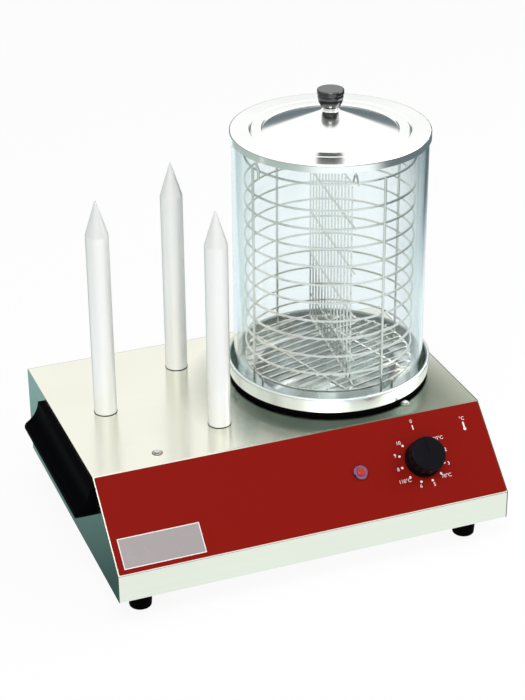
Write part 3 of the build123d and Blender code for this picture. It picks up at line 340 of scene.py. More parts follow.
class HotDogStage(bpy.types.PropertyGroup):
    """Camera, lamps, floor and surround, with what metal mirrors of them."""

    camera_place: FloatVectorProperty(
        name="Camera place", description="Where the camera stands",
        subtype="TRANSLATION", default=(-0.56577, -1.51811, 1.01571),
    )
    camera_turn: FloatProperty(
        name="Camera turn", description="Turn of the view to the right of straight back",
        subtype="ANGLE", default=math.radians(20.944),
    )
    camera_dip: FloatProperty(
        name="Camera dip", description="How far the view points below level",
        subtype="ANGLE", default=math.radians(27.446),
    )
    camera_roll: FloatProperty(
        name="Camera roll", description="Roll of the camera about its own line of view",
        subtype="ANGLE", default=math.radians(-0.464),
    )
    camera_lens: FloatProperty(
        name="Focal length", description="Lens for a 36 mm sensor along the longer side, in mm",
        default=97.35,
    )
    lamp_aim: FloatVectorProperty(
        name="Lamp aim", description="The point that both lamps face",
        subtype="TRANSLATION", default=(0, 0, 0.15),
    )
    key_place: FloatVectorProperty(
        name="Key lamp", description="Where the key lamp stands",
        subtype="TRANSLATION", default=(-0.5, -1.3, 2.1),
    )
    key_size: FloatProperty(
        name="Key lamp size", description="Side of the square key lamp",
        subtype="DISTANCE", default=1.0,
    )
    key_power: FloatProperty(
        name="Key lamp power", description="Power of the key lamp",
        subtype="POWER", default=21,
    )
    fill_place: FloatVectorProperty(
        name="Fill lamp", description="Where the fill lamp stands",
        subtype="TRANSLATION", default=(1.7, -0.4, 1.2),
    )
    fill_size: FloatProperty(
        name="Fill lamp size", description="Side of the square fill lamp",
        subtype="DISTANCE", default=1.4,
    )
    fill_power: FloatProperty(
        name="Fill lamp power", description="Power of the fill lamp",
        subtype="POWER", default=12,
    )
    floor_colour: FloatVectorProperty(
        name="Floor", description="Pale studio floor",
        subtype="COLOR", min=0, max=1, default=from_screen(250, 250, 250),
    )
    floor_size: FloatProperty(
        name="Floor size", description="Side of the square floor",
        subtype="DISTANCE", default=12.0,
    )
    floor_glow: FloatProperty(
        name="Floor glow", description="How far the floor is lifted to white, from 0 to 1",
        default=0.9,
    )
    floor_fade: FloatProperty(
        name="Floor fade",
        description="Half the width over which a mirrored field of the floor fades out",
        subtype="DISTANCE", default=32 * MM,
    )
    side_fade: FloatProperty(
        name="Side floor fade", description="The same at the dark floor's right and front edges",
        subtype="DISTANCE", default=8 * MM,
    )
    # The floor seen in mirrors carries painted shade: a painted shadow beside the left panel, darker far to the
    # right and grey behind and to the left
    side_low: FloatVectorProperty(
        name="Side floor corner",
        description="Front left corner of the dark floor beside the left panel",
        subtype="TRANSLATION", size=2, default=(-0.33, -0.17),
    )
    side_high: FloatVectorProperty(
        name="Side floor far corner",
        description="Back right corner of the dark floor beside the left panel",
        subtype="TRANSLATION", size=2, default=(-0.185, 0.50),
    )
    side_turn: FloatVectorProperty(
        name="Side floor change",
        description="From where to where the dark floor turns from its front to its back colour",
        subtype="TRANSLATION", size=2, default=(-0.08, 0.32),
    )
    right_dark: FloatVectorProperty(
        name="Right floor",
        description="From where to where the mirrored floor turns dark to the right",
        subtype="TRANSLATION", size=2, default=(0.50, 0.75),
    )
    far_low: FloatVectorProperty(
        name="Far floor corner",
        description="Front right corner of the grey floor behind and to the left",
        subtype="TRANSLATION", size=2, default=(-0.19, 0.40),
    )
    far_left: FloatVectorProperty(
        name="Far left floor",
        description="From where to where the mirrored floor turns grey to the left",
        subtype="TRANSLATION", size=2, default=(-0.55, -0.75),
    )
    far_colour: FloatVectorProperty(
        name="Far floor", description="Colour of the mirrored floor behind and to the left",
        subtype="COLOR", min=0, max=1, default=(0.42, 0.51, 0.48),
    )
    side_front: FloatVectorProperty(
        name="Side floor front", description="Colour of the mirrored dark floor at its front end",
        subtype="COLOR", min=0, max=1, default=(0.05, 0.10, 0.10),
    )
    side_back: FloatVectorProperty(
        name="Side floor back", description="Colour of the mirrored dark floor at its back end",
        subtype="COLOR", min=0, max=1, default=(0.25, 0.42, 0.43),
    )
    front_floor: FloatVectorProperty(
        name="Front floor", description="Colour of the mirrored floor elsewhere",
        subtype="COLOR", min=0, max=2, default=(0.97, 1.05, 1.07),
    )
    dark_band: FloatVectorProperty(
        name="Dark surround", description="Low dark band round the studio, seen only in metal",
        subtype="COLOR", min=0, max=1, default=(0.14, 0.18, 0.195),
    )
    band_top: FloatProperty(
        name="Dark band", description="Height of the dark band as an angle above level",
        subtype="ANGLE", default=math.radians(17.5),
    )
    band_fade: FloatProperty(
        name="Dark band fade",
        description="Half the angle over which the dark band fades into the sky",
        subtype="ANGLE", default=0.03,
    )
    sky_level: FloatProperty(
        name="Sky level", description="Even light from all round", default=0.62,
    )
    sky_mirror: FloatProperty(
        name="Mirrored sky", description="Brightness of the sky in what metal mirrors", default=1.13,
    )


def add_node(tree, kind, sockets=None, **options):
    """Add a shader node; its sockets are filled with values, or linked where a socket is given."""
    node = tree.nodes.new("ShaderNode" + kind)
    for option, value in options.items():
        setattr(node, option, value)
    for name, value in (sockets or {}).items():
        if isinstance(value, bpy.types.NodeSocket):
            tree.links.new(value, node.inputs[name])
        else:
            node.inputs[name].default_value = value
    return node


def split_axes(tree, vector):
    """The X, Y and Z of a vector, as three sockets."""
    return tuple(add_node(tree, "SeparateXYZ", {0: vector}).outputs)


def object_place(tree):
    """Where a point of the surface lies, as three sockets."""
    return split_axes(tree, add_node(tree, "TexCoord").outputs["Object"])


def ramp(tree, value, start, end):
    """A share that goes from 0 at the start to 1 at the end."""
    return add_node(tree, "MapRange", {"Value": value, "From Min": start, "From Max": end}).outputs[0]


def multiply_shares(tree, first, *others):
    """The product of shares from 0 to 1."""
    for other in others:
        first = add_node(tree, "Math", {0: first, 1: other}, operation="MULTIPLY").outputs[0]
    return first


def larger_share(tree, first, second):
    """The larger of two shares."""
    return add_node(tree, "Math", {0: first, 1: second}, operation="MAXIMUM").outputs[0]


def mix_colours(tree, share, first, second, blend="MIX"):
    """One colour turning into another as the share goes from 0 to 1; each is a colour or a socket."""
    ends = [
        colour if isinstance(colour, bpy.types.NodeSocket) else (*colour, 1)
        for colour in (first, second)
    ]
    mix = add_node(tree, "Mix", {0: share, 6: ends[0], 7: ends[1]}, data_type="RGBA", blend_type=blend)
    return mix.outputs[2]


def new_group(name, inputs, outputs):
    """An empty shader node group with its named inputs and outputs, and its two end nodes."""
    tree = bpy.data.node_groups.new(name, "ShaderNodeTree")
    for label, kind, default in inputs:
        socket = tree.interface.new_socket(name=label, in_out="INPUT", socket_type="NodeSocket" + kind)
        socket.default_value = default
    for label, kind in outputs:
        tree.interface.new_socket(name=label, in_out="OUTPUT", socket_type="NodeSocket" + kind)
    return tree, tree.nodes.new("NodeGroupInput"), tree.nodes.new("NodeGroupOutput")


def put_group(tree, group, sockets):
    """Place a node group in a material and fill its inputs."""
    node = tree.nodes.new("ShaderNodeGroup")
    node.node_tree = group
    for name, value in sockets.items():
        node.inputs[name].default_value = value
    return node


def drawn_grain_group():
    """Fine parallel lines left by brushing or drawing, with broader streaks under them."""
    group = bpy.data.node_groups.get("drawn_grain")
    if group:
        return group
    group, given, result = new_group(
        "drawn_grain",
        [("Lines per metre", "Vector", (6, 900, 900)), ("Streak share", "Float", 0.4)],
        [("Lines", "Float"), ("Patches", "Float")],
    )
    place = add_node(group, "TexCoord").outputs["Object"]
    stretched = add_node(
        group, "VectorMath", {0: place, 1: given.outputs["Lines per metre"]}, operation="MULTIPLY"
    )
    fine = add_node(
        group, "TexNoise",
        {"Vector": stretched.outputs[0], "Scale": 1.0, "Detail": 3.0, "Roughness": 0.6},
    )
    broad = add_node(group, "TexNoise", {"Vector": stretched.outputs[0], "Scale": 0.12, "Detail": 2.0})
    lines = add_node(
        group, "Mix",
        {0: given.outputs["Streak share"], 2: fine.outputs[0], 3: broad.outputs[0]},
        data_type="FLOAT",
    )
    patches = add_node(group, "TexNoise", {"Vector": place, "Scale": 11.0, "Detail": 4.0})
    group.links.new(lines.outputs[0], result.inputs["Lines"])
    group.links.new(patches.outputs[0], result.inputs["Patches"])
    return group


def turned_rings_group():
    """Rings round an upright axis, as spinning or turning leaves them."""
    group = bpy.data.node_groups.get("turned_rings")
    if group:
        return group
    group, given, result = new_group(
        "turned_rings",
        [("Axis place", "Vector", (0, 0, 0)), ("Rings per metre", "Float", 900.0)],
        [("Rings", "Float"), ("Patches", "Float")],
    )
    place = add_node(group, "TexCoord").outputs["Object"]
    moved = add_node(
        group, "VectorMath", {0: place, 1: given.outputs["Axis place"]}, operation="SUBTRACT"
    )
    across, back, height = split_axes(group, moved.outputs[0])
    flat = add_node(group, "CombineXYZ", {"X": across, "Y": back})
    radius = add_node(group, "VectorMath", {0: flat.outputs[0]}, operation="LENGTH")
    along = add_node(group, "Math", {0: radius.outputs["Value"], 1: height}, operation="ADD")
    count = add_node(
        group, "Math", {0: along.outputs[0], 1: given.outputs["Rings per metre"]}, operation="MULTIPLY"
    )
    rings = add_node(
        group, "TexNoise", {"W": count.outputs[0], "Scale": 1.0, "Detail": 3.0}, noise_dimensions="1D"
    )
    patches = add_node(group, "TexNoise", {"Vector": place, "Scale": 16.0, "Detail": 4.0})
    group.links.new(rings.outputs[0], result.inputs["Rings"])
    group.links.new(patches.outputs[0], result.inputs["Patches"])
    return group


def moulded_grain_group():
    """The fine pebbled skin of moulded plastic and rubber, with scuffed patches."""
    group = bpy.data.node_groups.get("moulded_grain")
    if group:
        return group
    group, given, result = new_group(
        "moulded_grain",
        [("Pebbles per metre", "Float", PEBBLES_PER_METRE)],
        [("Pebbles", "Float"), ("Scuffs", "Float")],
    )
    place = add_node(group, "TexCoord").outputs["Object"]
    pebbles = add_node(
        group, "TexNoise",
        {"Vector": place, "Scale": given.outputs["Pebbles per metre"], "Detail": 2.0, "Roughness": 0.5},
    )
    clouds = add_node(
        group, "TexNoise", {"Vector": place, "Scale": 38.0, "Detail": 6.0, "Roughness": 0.65}
    )
    group.links.new(pebbles.outputs[0], result.inputs["Pebbles"])
    group.links.new(ramp(group, clouds.outputs[0], 0.52, 0.74), result.inputs["Scuffs"])
    return group


def start_material(name, colour, metallic=0.0, roughness=0.5, specular=0.5):
    """A material with one Principled shader; its tree and shader are returned with it."""
    material = bpy.data.materials.new(name)
    material.use_nodes = True
    tree = material.node_tree
    tree.nodes.clear()
    shader = add_node(
        tree, "BsdfPrincipled",
        {
            "Base Color": (*colour, 1), "Metallic": metallic, "Roughness": roughness,
            "Specular IOR Level": specular,
        },
    )
    add_node(tree, "OutputMaterial", {"Surface": shader.outputs[0]})
    return material, tree, shader


def vary_colour(tree, shader, mask, low, high):
    """Base Color runs between two shades of its colour as the mask runs from 0 to 1."""
    colour = tuple(shader.inputs["Base Color"].default_value)[:3]
    darker = [channel * low for channel in colour]
    lighter = [min(1, channel * high) for channel in colour]
    tree.links.new(mix_colours(tree, mask, darker, lighter), shader.inputs["Base Color"])


def vary_roughness(tree, shader, mask, low, high):
    """Roughness runs between two values as the mask runs over the middle of its range."""
    spread = add_node(
        tree, "MapRange",
        {"Value": mask, "From Min": 0.3, "From Max": 0.7, "To Min": low, "To Max": high},
    )
    tree.links.new(spread.outputs[0], shader.inputs["Roughness"])


def raise_surface(tree, shader, height, depth, strength=0.3):
    """A bump of the given depth in metres."""
    bump = add_node(tree, "Bump", {"Height": height, "Distance": depth, "Strength": strength})
    tree.links.new(bump.outputs[0], shader.inputs["Normal"])


def paint_shade(tree, share, shade):
    """Paint shade: multiply Base Color by a shade colour, as far as the share says."""
    base = tree.nodes["Principled BSDF"].inputs["Base Color"]
    shaded = mix_colours(tree, share, base.links[0].from_socket, shade, blend="MULTIPLY")
    tree.links.new(shaded, base)


def brushed_metal(name, colour, lines, roughness, shades=(0.94, 1.03)):
    """Metal with parallel grain; lines per metre are low along the grain and high across it."""
    material, tree, shader = start_material(name, colour, metallic=1.0)
    grain = put_group(tree, drawn_grain_group(), {"Lines per metre": lines})
    vary_colour(tree, shader, grain.outputs["Lines"], *shades)
    vary_roughness(tree, shader, grain.outputs["Patches"], *roughness)
    raise_surface(tree, shader, grain.outputs["Lines"], 0.02 * MM, strength=0.35)
    return material


def turned_metal(
    name, colour, axis_place, rings, roughness, depth=0.02 * MM, shades=(0.96, 1.02), metallic=1.0
):
    """Metal with rings round an upright axis; a matt anodised skin is less than fully metallic."""
    material, tree, shader = start_material(name, colour, metallic=metallic)
    turning = put_group(
        tree, turned_rings_group(), {"Axis place": axis_place, "Rings per metre": rings}
    )
    vary_colour(tree, shader, turning.outputs["Rings"], *shades)
    vary_roughness(tree, shader, turning.outputs["Patches"], *roughness)
    raise_surface(tree, shader, turning.outputs["Rings"], depth)
    return material


def moulded(
    name, colour, roughness, pebbles=PEBBLES_PER_METRE, depth=0.03 * MM, metallic=0.0, specular=0.5,
    scuff=1.12,
):
    """Moulded plastic, rubber or printed film with a fine skin."""
    material, tree, shader = start_material(name, colour, metallic=metallic, specular=specular)
    skin = put_group(tree, moulded_grain_group(), {"Pebbles per metre": pebbles})
    vary_colour(tree, shader, skin.outputs["Scuffs"], 1.0, scuff)
    vary_roughness(tree, shader, skin.outputs["Scuffs"], *roughness)
    raise_surface(tree, shader, skin.outputs["Pebbles"], depth)
    return material


def rubber(name, colour):
    """Matt rubber, as on the feet and the ring under the tray, and on the thin dark rings round the spikes' feet.
    """
    return moulded(name, colour, (0.55, 0.75), pebbles=900, specular=0.004)


def two_height_plastic(name, colour, height):
    """Black plastic, matt below a height, as on the handle, and glossy above it, as on the lid."""
    material, tree, shader = start_material(name, colour, roughness=0.34, specular=0.004)
    place = object_place(tree)[2]
    above = add_node(tree, "Math", {0: place, 1: height}, operation="GREATER_THAN").outputs[0]
    tree.links.new(above, shader.inputs["Coat Weight"])
    shader.inputs["Coat Roughness"].default_value = 0.1
    shader.inputs["Coat IOR"].default_value = 1.9
    skin = put_group(tree, moulded_grain_group(), {"Pebbles per metre": PEBBLES_PER_METRE})
    raise_surface(tree, shader, skin.outputs["Pebbles"], 0.006 * MM)
    return material


def clear_glass(name, tint, edge_tint):
    """Clear glass: plain transmission, bluer where the wall is seen edge on, with faint wipe marks."""
    material, tree, shader = start_material(name, tint)
    facing = add_node(tree, "LayerWeight", {"Blend": 0.5}).outputs["Facing"]
    colour = mix_colours(tree, ramp(tree, facing, 0.35, 0.9), tint, edge_tint)
    tree.links.new(colour, shader.inputs["Base Color"])
    shader.inputs["Transmission Weight"].default_value = 1.0
    shader.inputs["IOR"].default_value = 1.47
    marks = put_group(tree, moulded_grain_group(), {"Pebbles per metre": 60.0})
    vary_roughness(tree, shader, marks.outputs["Scuffs"], 0.0, 0.02)
    return material


def red_lens_plastic(name, colour):
    """Clear red plastic with a faint inner glow."""
    material, tree, shader = start_material(name, colour, roughness=0.12)
    shader.inputs["Transmission Weight"].default_value = 0.35
    shader.inputs["IOR"].default_value = 1.49
    shader.inputs["Emission Color"].default_value = (*colour, 1)
    shader.inputs["Emission Strength"].default_value = 0.1
    skin = put_group(tree, moulded_grain_group(), {"Pebbles per metre": 500.0})
    vary_roughness(tree, shader, skin.outputs["Scuffs"], 0.08, 0.2)
    return material


def print_ink(colours):
    """The white ink of the printed signs."""
    return bpy.data.materials.get("print_ink") or moulded(
        "print_ink", colours.print_white, (0.45, 0.55), pebbles=2000, depth=0.005 * MM
    )


def paint_sheet_shade(tree, colours):
    """Paint shade into the sheet: a painted shadow and painted reflection of the tray on the deck before it, and
    painted shade at the deck's front right end, both seen only by the camera, and painted shade on the bare strip
    right of the panel.
    """
    where = add_node(tree, "TexCoord").outputs
    across, back, height = split_axes(tree, where["Object"])
    rightward = split_axes(tree, where["Normal"])[0]
    middle = Vector((*bowl_centre[:2], deck_top)) + Vector((*colours.shade_shift, 0))
    away = add_node(tree, "VectorMath", {0: where["Object"], 1: middle}, operation="DISTANCE")
    start, end = colours.shade_reach
    near = ramp(tree, away.outputs["Value"], end, start)
    right = ramp(tree, across, *colours.right_reach)
    corner = ramp(tree, back, *colours.corner_reach)
    strip = ramp(tree, across, overlay_right, overlay_right + colours.strip_fade)
    on_deck = ramp(tree, height, deck_top - 2 * SHADE_FADE, deck_top - SHADE_FADE)
    looked_at = add_node(tree, "LightPath").outputs["Is Camera Ray"]
    off_side_panel = ramp(tree, rightward, 0.6, 0.4)
    # Painted shadow and painted reflection of the tray on the deck, seen only by the camera
    paint_shade(tree, multiply_shares(tree, near, on_deck, looked_at), colours.painted_bowl_shade)
    # Painted shade at the deck's front right end, seen only by the camera
    paint_shade(tree, multiply_shares(tree, right, corner, on_deck, looked_at), colours.painted_right_shade)
    # Painted shade on the bare strip right of the red panel
    paint_shade(tree, multiply_shares(tree, strip, off_side_panel), colours.painted_edge_shade)


def paint_tray_shade(tree, colours):
    """Paint shade on the floor of the tray between the glass and the rim."""
    across, back, _ = object_place(tree)
    flat = add_node(tree, "CombineXYZ", {"X": across, "Y": back}).outputs[0]
    away = add_node(tree, "VectorMath", {0: flat, 1: bowl_centre}, operation="DISTANCE")
    radius = away.outputs["Value"]
    outside_glass = ramp(tree, radius, glass_radius - colours.tray_fade, glass_radius)
    inside_rim = ramp(tree, radius, bowl_radius - 2 * SHADE_FADE, bowl_radius - 3 * SHADE_FADE)
    paint_shade(tree, multiply_shares(tree, outside_glass, inside_rim), colours.painted_tray_shade)


def paint_spike_shade(tree, colours):
    """Paint shade on the spikes where they curve out of sight."""
    facing = add_node(tree, "LayerWeight", {"Blend": 0.5}).outputs["Facing"]
    paint_shade(tree, ramp(tree, facing, 0.55, 0.95), colours.painted_spike_edge)


def finish_nodes(slot_materials):
    """Give every CAD node of the named material slots its material."""
    for part in frame["record"]["subparts"]:
        material = slot_materials.get(part["material_slot"])
        if material:
            node = frame["nodes"][part["node"]]
            node.data.materials.clear()
            node.data.materials.append(material)
            for face in node.data.polygons:
                face.material_index = 0


def add_piece(name, builder, material, body):
    """Turn a finished bmesh into a piece of the machine, and let it ride on a body."""
    mesh = bpy.data.meshes.new(name)
    builder.to_mesh(mesh)
    builder.free()
    mesh.materials.append(material)
    piece = bpy.data.objects.new(name, mesh)
    bpy.context.scene.collection.objects.link(piece)
    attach(piece, body)


def on_panel(across, up):
    """The matrix that lays a flat shape on the red panel, at a place given from the knob's centre."""
    base = knob_centre + across * across_slope + up * up_slope
    foot = base + (overlay_height - base.dot(slope_normal)) * slope_normal
    turn = Matrix((across_slope, up_slope, slope_normal)).transposed().to_4x4()
    return Matrix.Translation(foot) @ turn


def add_text(builder, words, height, thickness, place):
    """Add raised lettering to a bmesh; the words stand centred on their place."""
    curve = bpy.data.curves.new("lettering", "FONT")
    curve.body = words
    curve.size = height / CAPITAL_SHARE
    curve.extrude = thickness / 2
    curve.resolution_u = 4
    curve.align_x = "CENTER"
    curve.align_y = "CENTER"
    carrier = bpy.data.objects.new("lettering", curve)
    bpy.context.scene.collection.objects.link(carrier)
    bpy.context.view_layer.update()
    graph = bpy.context.evaluated_depsgraph_get()
    mesh = bpy.data.meshes.new_from_object(carrier.evaluated_get(graph))
    mesh.transform(place @ Matrix.Translation((0, 0, thickness / 2)))
    builder.from_mesh(mesh)
    bpy.data.objects.remove(carrier)
    bpy.data.curves.remove(curve)
    bpy.data.meshes.remove(mesh)


def add_disc(builder, radius, thickness, place, sides=24):
    """Add a flat disc that stands on its place."""
    bmesh.ops.create_cone(
        builder, cap_ends=True, segments=sides, radius1=radius, radius2=radius, depth=thickness,
        matrix=place @ Matrix.Translation((0, 0, thickness / 2)),
    )


def add_bar(builder, width, length, thickness, place):
    """Add a flat bar that stands on its place, long along the slope."""
    size = Matrix.Diagonal((width, length, thickness, 1))
    bmesh.ops.create_cube(
        builder, size=1.0, matrix=place @ Matrix.Translation((0, 0, thickness / 2)) @ size
    )


def screw_places():
    """Where the deck screws stand on the deck, one place for each screw."""
    heads = []
    for vertex in frame["nodes"]["deck_screws"].data.vertices:
        if vertex.co.z > deck_top:
            flat = Vector((vertex.co.x, vertex.co.y, deck_top))
            near = [head for head in heads if (head[0] - flat).length < SCREW_SPACING]
            if near:
                near[0].append(flat)
            else:
                heads.append([flat])
    return [sum(head, Vector()) / len(head) for head in heads]


class HOTDOG_OT_housing_finish(bpy.types.Operator):
    """Brushed steel with painted shade on the deck and beside the panel on the housing sheets, film on the panel
    and steel on the fasteners
    """

    bl_idname = "hotdog.housing_finish"
    bl_label = "Finish Housing"

    def execute(self, context):
        colours = context.scene.hot_dog_finishes
        sheet = brushed_metal(
            "sheet_steel", colours.sheet_steel, lines=(7, 1300, 1300), roughness=(0.16, 0.24)
        )
        paint_sheet_shade(sheet.node_tree, colours)
        finish_nodes({
            "sheet_steel": sheet,
            "fastener_steel": brushed_metal(
                "fastener_steel", colours.fastener_steel, lines=(900, 900, 900), roughness=(0.25, 0.4)
            ),
            "red_panel": moulded(
                "red_panel", colours.red_panel, roughness=(0.42, 0.5), pebbles=1100, depth=0.01 * MM,
                specular=0.03, scuff=1.03,
            ),
        })
        return {"FINISHED"}


class HOTDOG_OT_bowl_finish(bpy.types.Operator):
    """Spun satin steel with painted shade in the tray on the water bowl, and rubber on its seat ring"""

    bl_idname = "hotdog.bowl_finish"
    bl_label = "Finish Water Bowl"

    def execute(self, context):
        colours = context.scene.hot_dog_finishes
        steel = turned_metal(
            "bowl_steel", colours.bowl_steel, bowl_centre, rings=700.0, roughness=(0.24, 0.36)
        )
        paint_tray_shade(steel.node_tree, colours)
        finish_nodes({
            "bowl_steel": steel,
            "black_rubber": rubber("black_rubber", colours.black_rubber),
        })
        return {"FINISHED"}


class HOTDOG_OT_lid_finish(bpy.types.Operator):
    """Mirror-polished steel on the lid and its knob's neck"""

    bl_idname = "hotdog.lid_finish"
    bl_label = "Finish Lid"

    def execute(self, context):
        colours = context.scene.hot_dog_finishes
        finish_nodes({
            "polished_steel": turned_metal(
                "polished_steel", colours.polished_steel, bowl_centre, rings=500.0,
                roughness=(0.14, 0.18), depth=0.004 * MM, shades=(0.985, 1.01),
            ),
        })
        return {"FINISHED"}


class HOTDOG_OT_glass_finish(bpy.types.Operator):
    """Clear glass on the steam cylinder"""

    bl_idname = "hotdog.glass_finish"
    bl_label = "Finish Glass"

    def execute(self, context):
        colours = context.scene.hot_dog_finishes
        glass = clear_glass("clear_glass", colours.glass_tint, colours.glass_edge)
        finish_nodes({"clear_glass": glass})
        return {"FINISHED"}


class HOTDOG_OT_basket_finish(bpy.types.Operator):
    """Bright drawn wire on the basket"""

    bl_idname = "hotdog.basket_finish"
    bl_label = "Finish Basket"

    def execute(self, context):
        colours = context.scene.hot_dog_finishes
        finish_nodes({
            "basket_wire": brushed_metal(
                "basket_wire", colours.basket_wire, lines=(400, 400, 400), roughness=(0.14, 0.24)
            ),
        })
        return {"FINISHED"}


class HOTDOG_OT_spike_finish(bpy.types.Operator):
    """Satin turned aluminium with painted shade at its edges on the spikes, and a thin dark ring round the foot of
    each
    """

    bl_idname = "hotdog.spike_finish"
    bl_label = "Finish Spikes"

    def execute(self, context):
        sizes = context.scene.hot_dog_print
        colours = context.scene.hot_dog_finishes
        aluminium = turned_metal(
            "spike_aluminium", colours.spike_aluminium, axis_place=(0, 0, 0), rings=1600.0,
            roughness=(0.32, 0.42), metallic=colours.spike_metal,
        )
        paint_spike_shade(aluminium.node_tree, colours)
        finish_nodes({"spike_aluminium": aluminium})
        # A thin dark ring round the foot of each spike
        builder = bmesh.new()
        for name in ("spike_left", "spike_rear", "spike_front"):
            low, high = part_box(name)
            middle = (low + high) / 2
            add_disc(
                builder, (high.x - low.x) / 2 + sizes.foot_ring_edge, sizes.seat_height,
                Matrix.Translation((middle.x, middle.y, deck_top)), sides=48,
            )
        seat = rubber("spike_foot_ring", colours.black_rubber)
        add_piece("spike_foot_rings", builder, seat, "housing")
        return {"FINISHED"}


class HOTDOG_OT_deck_washers(bpy.types.Operator):
    """A thin washer with a browned edge under each deck screw"""

    bl_idname = "hotdog.deck_washers"
    bl_label = "Add Deck Washers"

    def execute(self, context):
        sizes = context.scene.hot_dog_print
        colours = context.scene.hot_dog_finishes
        edge, face = bmesh.new(), bmesh.new()
        face_radius = sizes.washer_radius - sizes.washer_edge
        for screw in screw_places():
            place = Matrix.Translation(screw)
            add_disc(edge, sizes.washer_radius, sizes.seat_height / 2, place, sides=40)
            add_disc(face, face_radius, sizes.seat_height, place, sides=40)
        brown = brushed_metal(
            "washer_steel", colours.washer_steel, lines=(900, 900, 900), roughness=(0.3, 0.45)
        )
        bright = bpy.data.materials["fastener_steel"]
        add_piece("washer_edges", edge, brown, "housing")
        add_piece("washer_faces", face, bright, "housing")
        return {"FINISHED"}


class HOTDOG_OT_moulding_finish(bpy.types.Operator):
    """Black plastic on the handle and the lid knob, and the control knob's own plastic"""

    bl_idname = "hotdog.moulding_finish"
    bl_label = "Finish Mouldings"

    def execute(self, context):
        colours = context.scene.hot_dog_finishes
        finish_nodes({
            "black_plastic": two_height_plastic("black_plastic", colours.black_plastic, lid_knob_foot),
            "knob_plastic": moulded(
                "knob_plastic", colours.knob_plastic, roughness=(0.3, 0.42), depth=0.02 * MM,
                specular=0.06,
            ),
            "grey_plastic": moulded("grey_plastic", colours.grey_plastic, roughness=(0.4, 0.55)),
        })
        return {"FINISHED"}


class HOTDOG_OT_lamp_finish(bpy.types.Operator):
    """Plated bezel and red lens on the indicator lamp"""

    bl_idname = "hotdog.lamp_finish"
    bl_label = "Finish Lamp"

    def execute(self, context):
        colours = context.scene.hot_dog_finishes
        finish_nodes({
            "lamp_bezel": moulded(
                "lamp_bezel", colours.lamp_bezel, roughness=(0.15, 0.25), pebbles=500,
                depth=0.004 * MM, metallic=1.0,
            ),
            "red_lens": red_lens_plastic("red_lens", colours.red_lens),
        })
        return {"FINISHED"}


class HOTDOG_OT_inner_finish(bpy.types.Operator):
    """Heat-tinted steel, milled aluminium and copper on the parts under the deck"""

    bl_idname = "hotdog.inner_finish"
    bl_label = "Finish Inner Parts"

    def execute(self, context):
        colours = context.scene.hot_dog_finishes
        finish_nodes({
            "heater_steel": brushed_metal(
                "heater_steel", colours.heater_steel, lines=(500, 500, 500), roughness=(0.35, 0.5),
                shades=(0.7, 1.2),
            ),
            "spreader_aluminium": turned_metal(
                "spreader_aluminium", colours.spreader_aluminium, bowl_centre, rings=600.0,
                roughness=(0.3, 0.4),
            ),
            "copper": brushed_metal(
                "copper", colours.copper, lines=(300, 300, 300), roughness=(0.25, 0.4),
                shades=(0.85, 1.05),
            ),
        })
        return {"FINISHED"}


class HOTDOG_OT_dial_print(bpy.types.Operator):
    """Dots and numbers round the control knob, with a 0 and a tick at the top"""

    bl_idname = "hotdog.dial_print"
    bl_label = "Print Dial"

    def execute(self, context):
        sizes = context.scene.hot_dog_print
        words = ("30°C", "2", "3", "70°C", "5", "6", "110°C", "8", "9", "10")
        step = (sizes.last_turn - sizes.first_turn) / (len(words) - 1)
        half_letter = sizes.number_height * HALF_LETTER_SHARE
        builder = bmesh.new()
        for index, word in enumerate(words):
            turn = sizes.first_turn + index * step
            side, rise = math.sin(turn), math.cos(turn)
            add_disc(
                builder, sizes.dot_radius, sizes.ink,
                on_panel(sizes.dial_shift + sizes.dot_ring * side, sizes.dot_ring * rise),
            )
            reach = sizes.number_ring + half_letter * (len(word) - 1)
            add_text(
                builder, word, sizes.number_height, sizes.ink,
                on_panel(sizes.dial_shift + reach * side, sizes.number_ring * rise),
            )
        add_text(builder, "0", sizes.number_height, sizes.ink, on_panel(0, sizes.zero_rise))
        tick = on_panel(0, sizes.tick_rise)
        add_bar(builder, sizes.tick_length / 4, sizes.tick_length, sizes.ink, tick)
        ink = print_ink(context.scene.hot_dog_finishes)
        add_piece("dial_print", builder, ink, "housing")
        return {"FINISHED"}


class HOTDOG_OT_thermometer_sign(bpy.types.Operator):
    """A small printed thermometer with its unit above it"""

    bl_idname = "hotdog.thermometer_sign"
    bl_label = "Print Thermometer Sign"

    def execute(self, context):
        sizes = context.scene.hot_dog_print
        across, up = sizes.sign_place
        stem, bulb = sizes.sign_stem, sizes.sign_bulb
        builder = bmesh.new()
        add_bar(builder, bulb, stem, sizes.ink, on_panel(across, up))
        add_disc(builder, bulb, sizes.ink, on_panel(across, up - stem / 2))
        add_text(builder, "°C", sizes.number_height, sizes.ink, on_panel(across, up + stem))
        ink = print_ink(context.scene.hot_dog_finishes)
        add_piece("thermometer_sign", builder, ink, "housing")
        return {"FINISHED"}


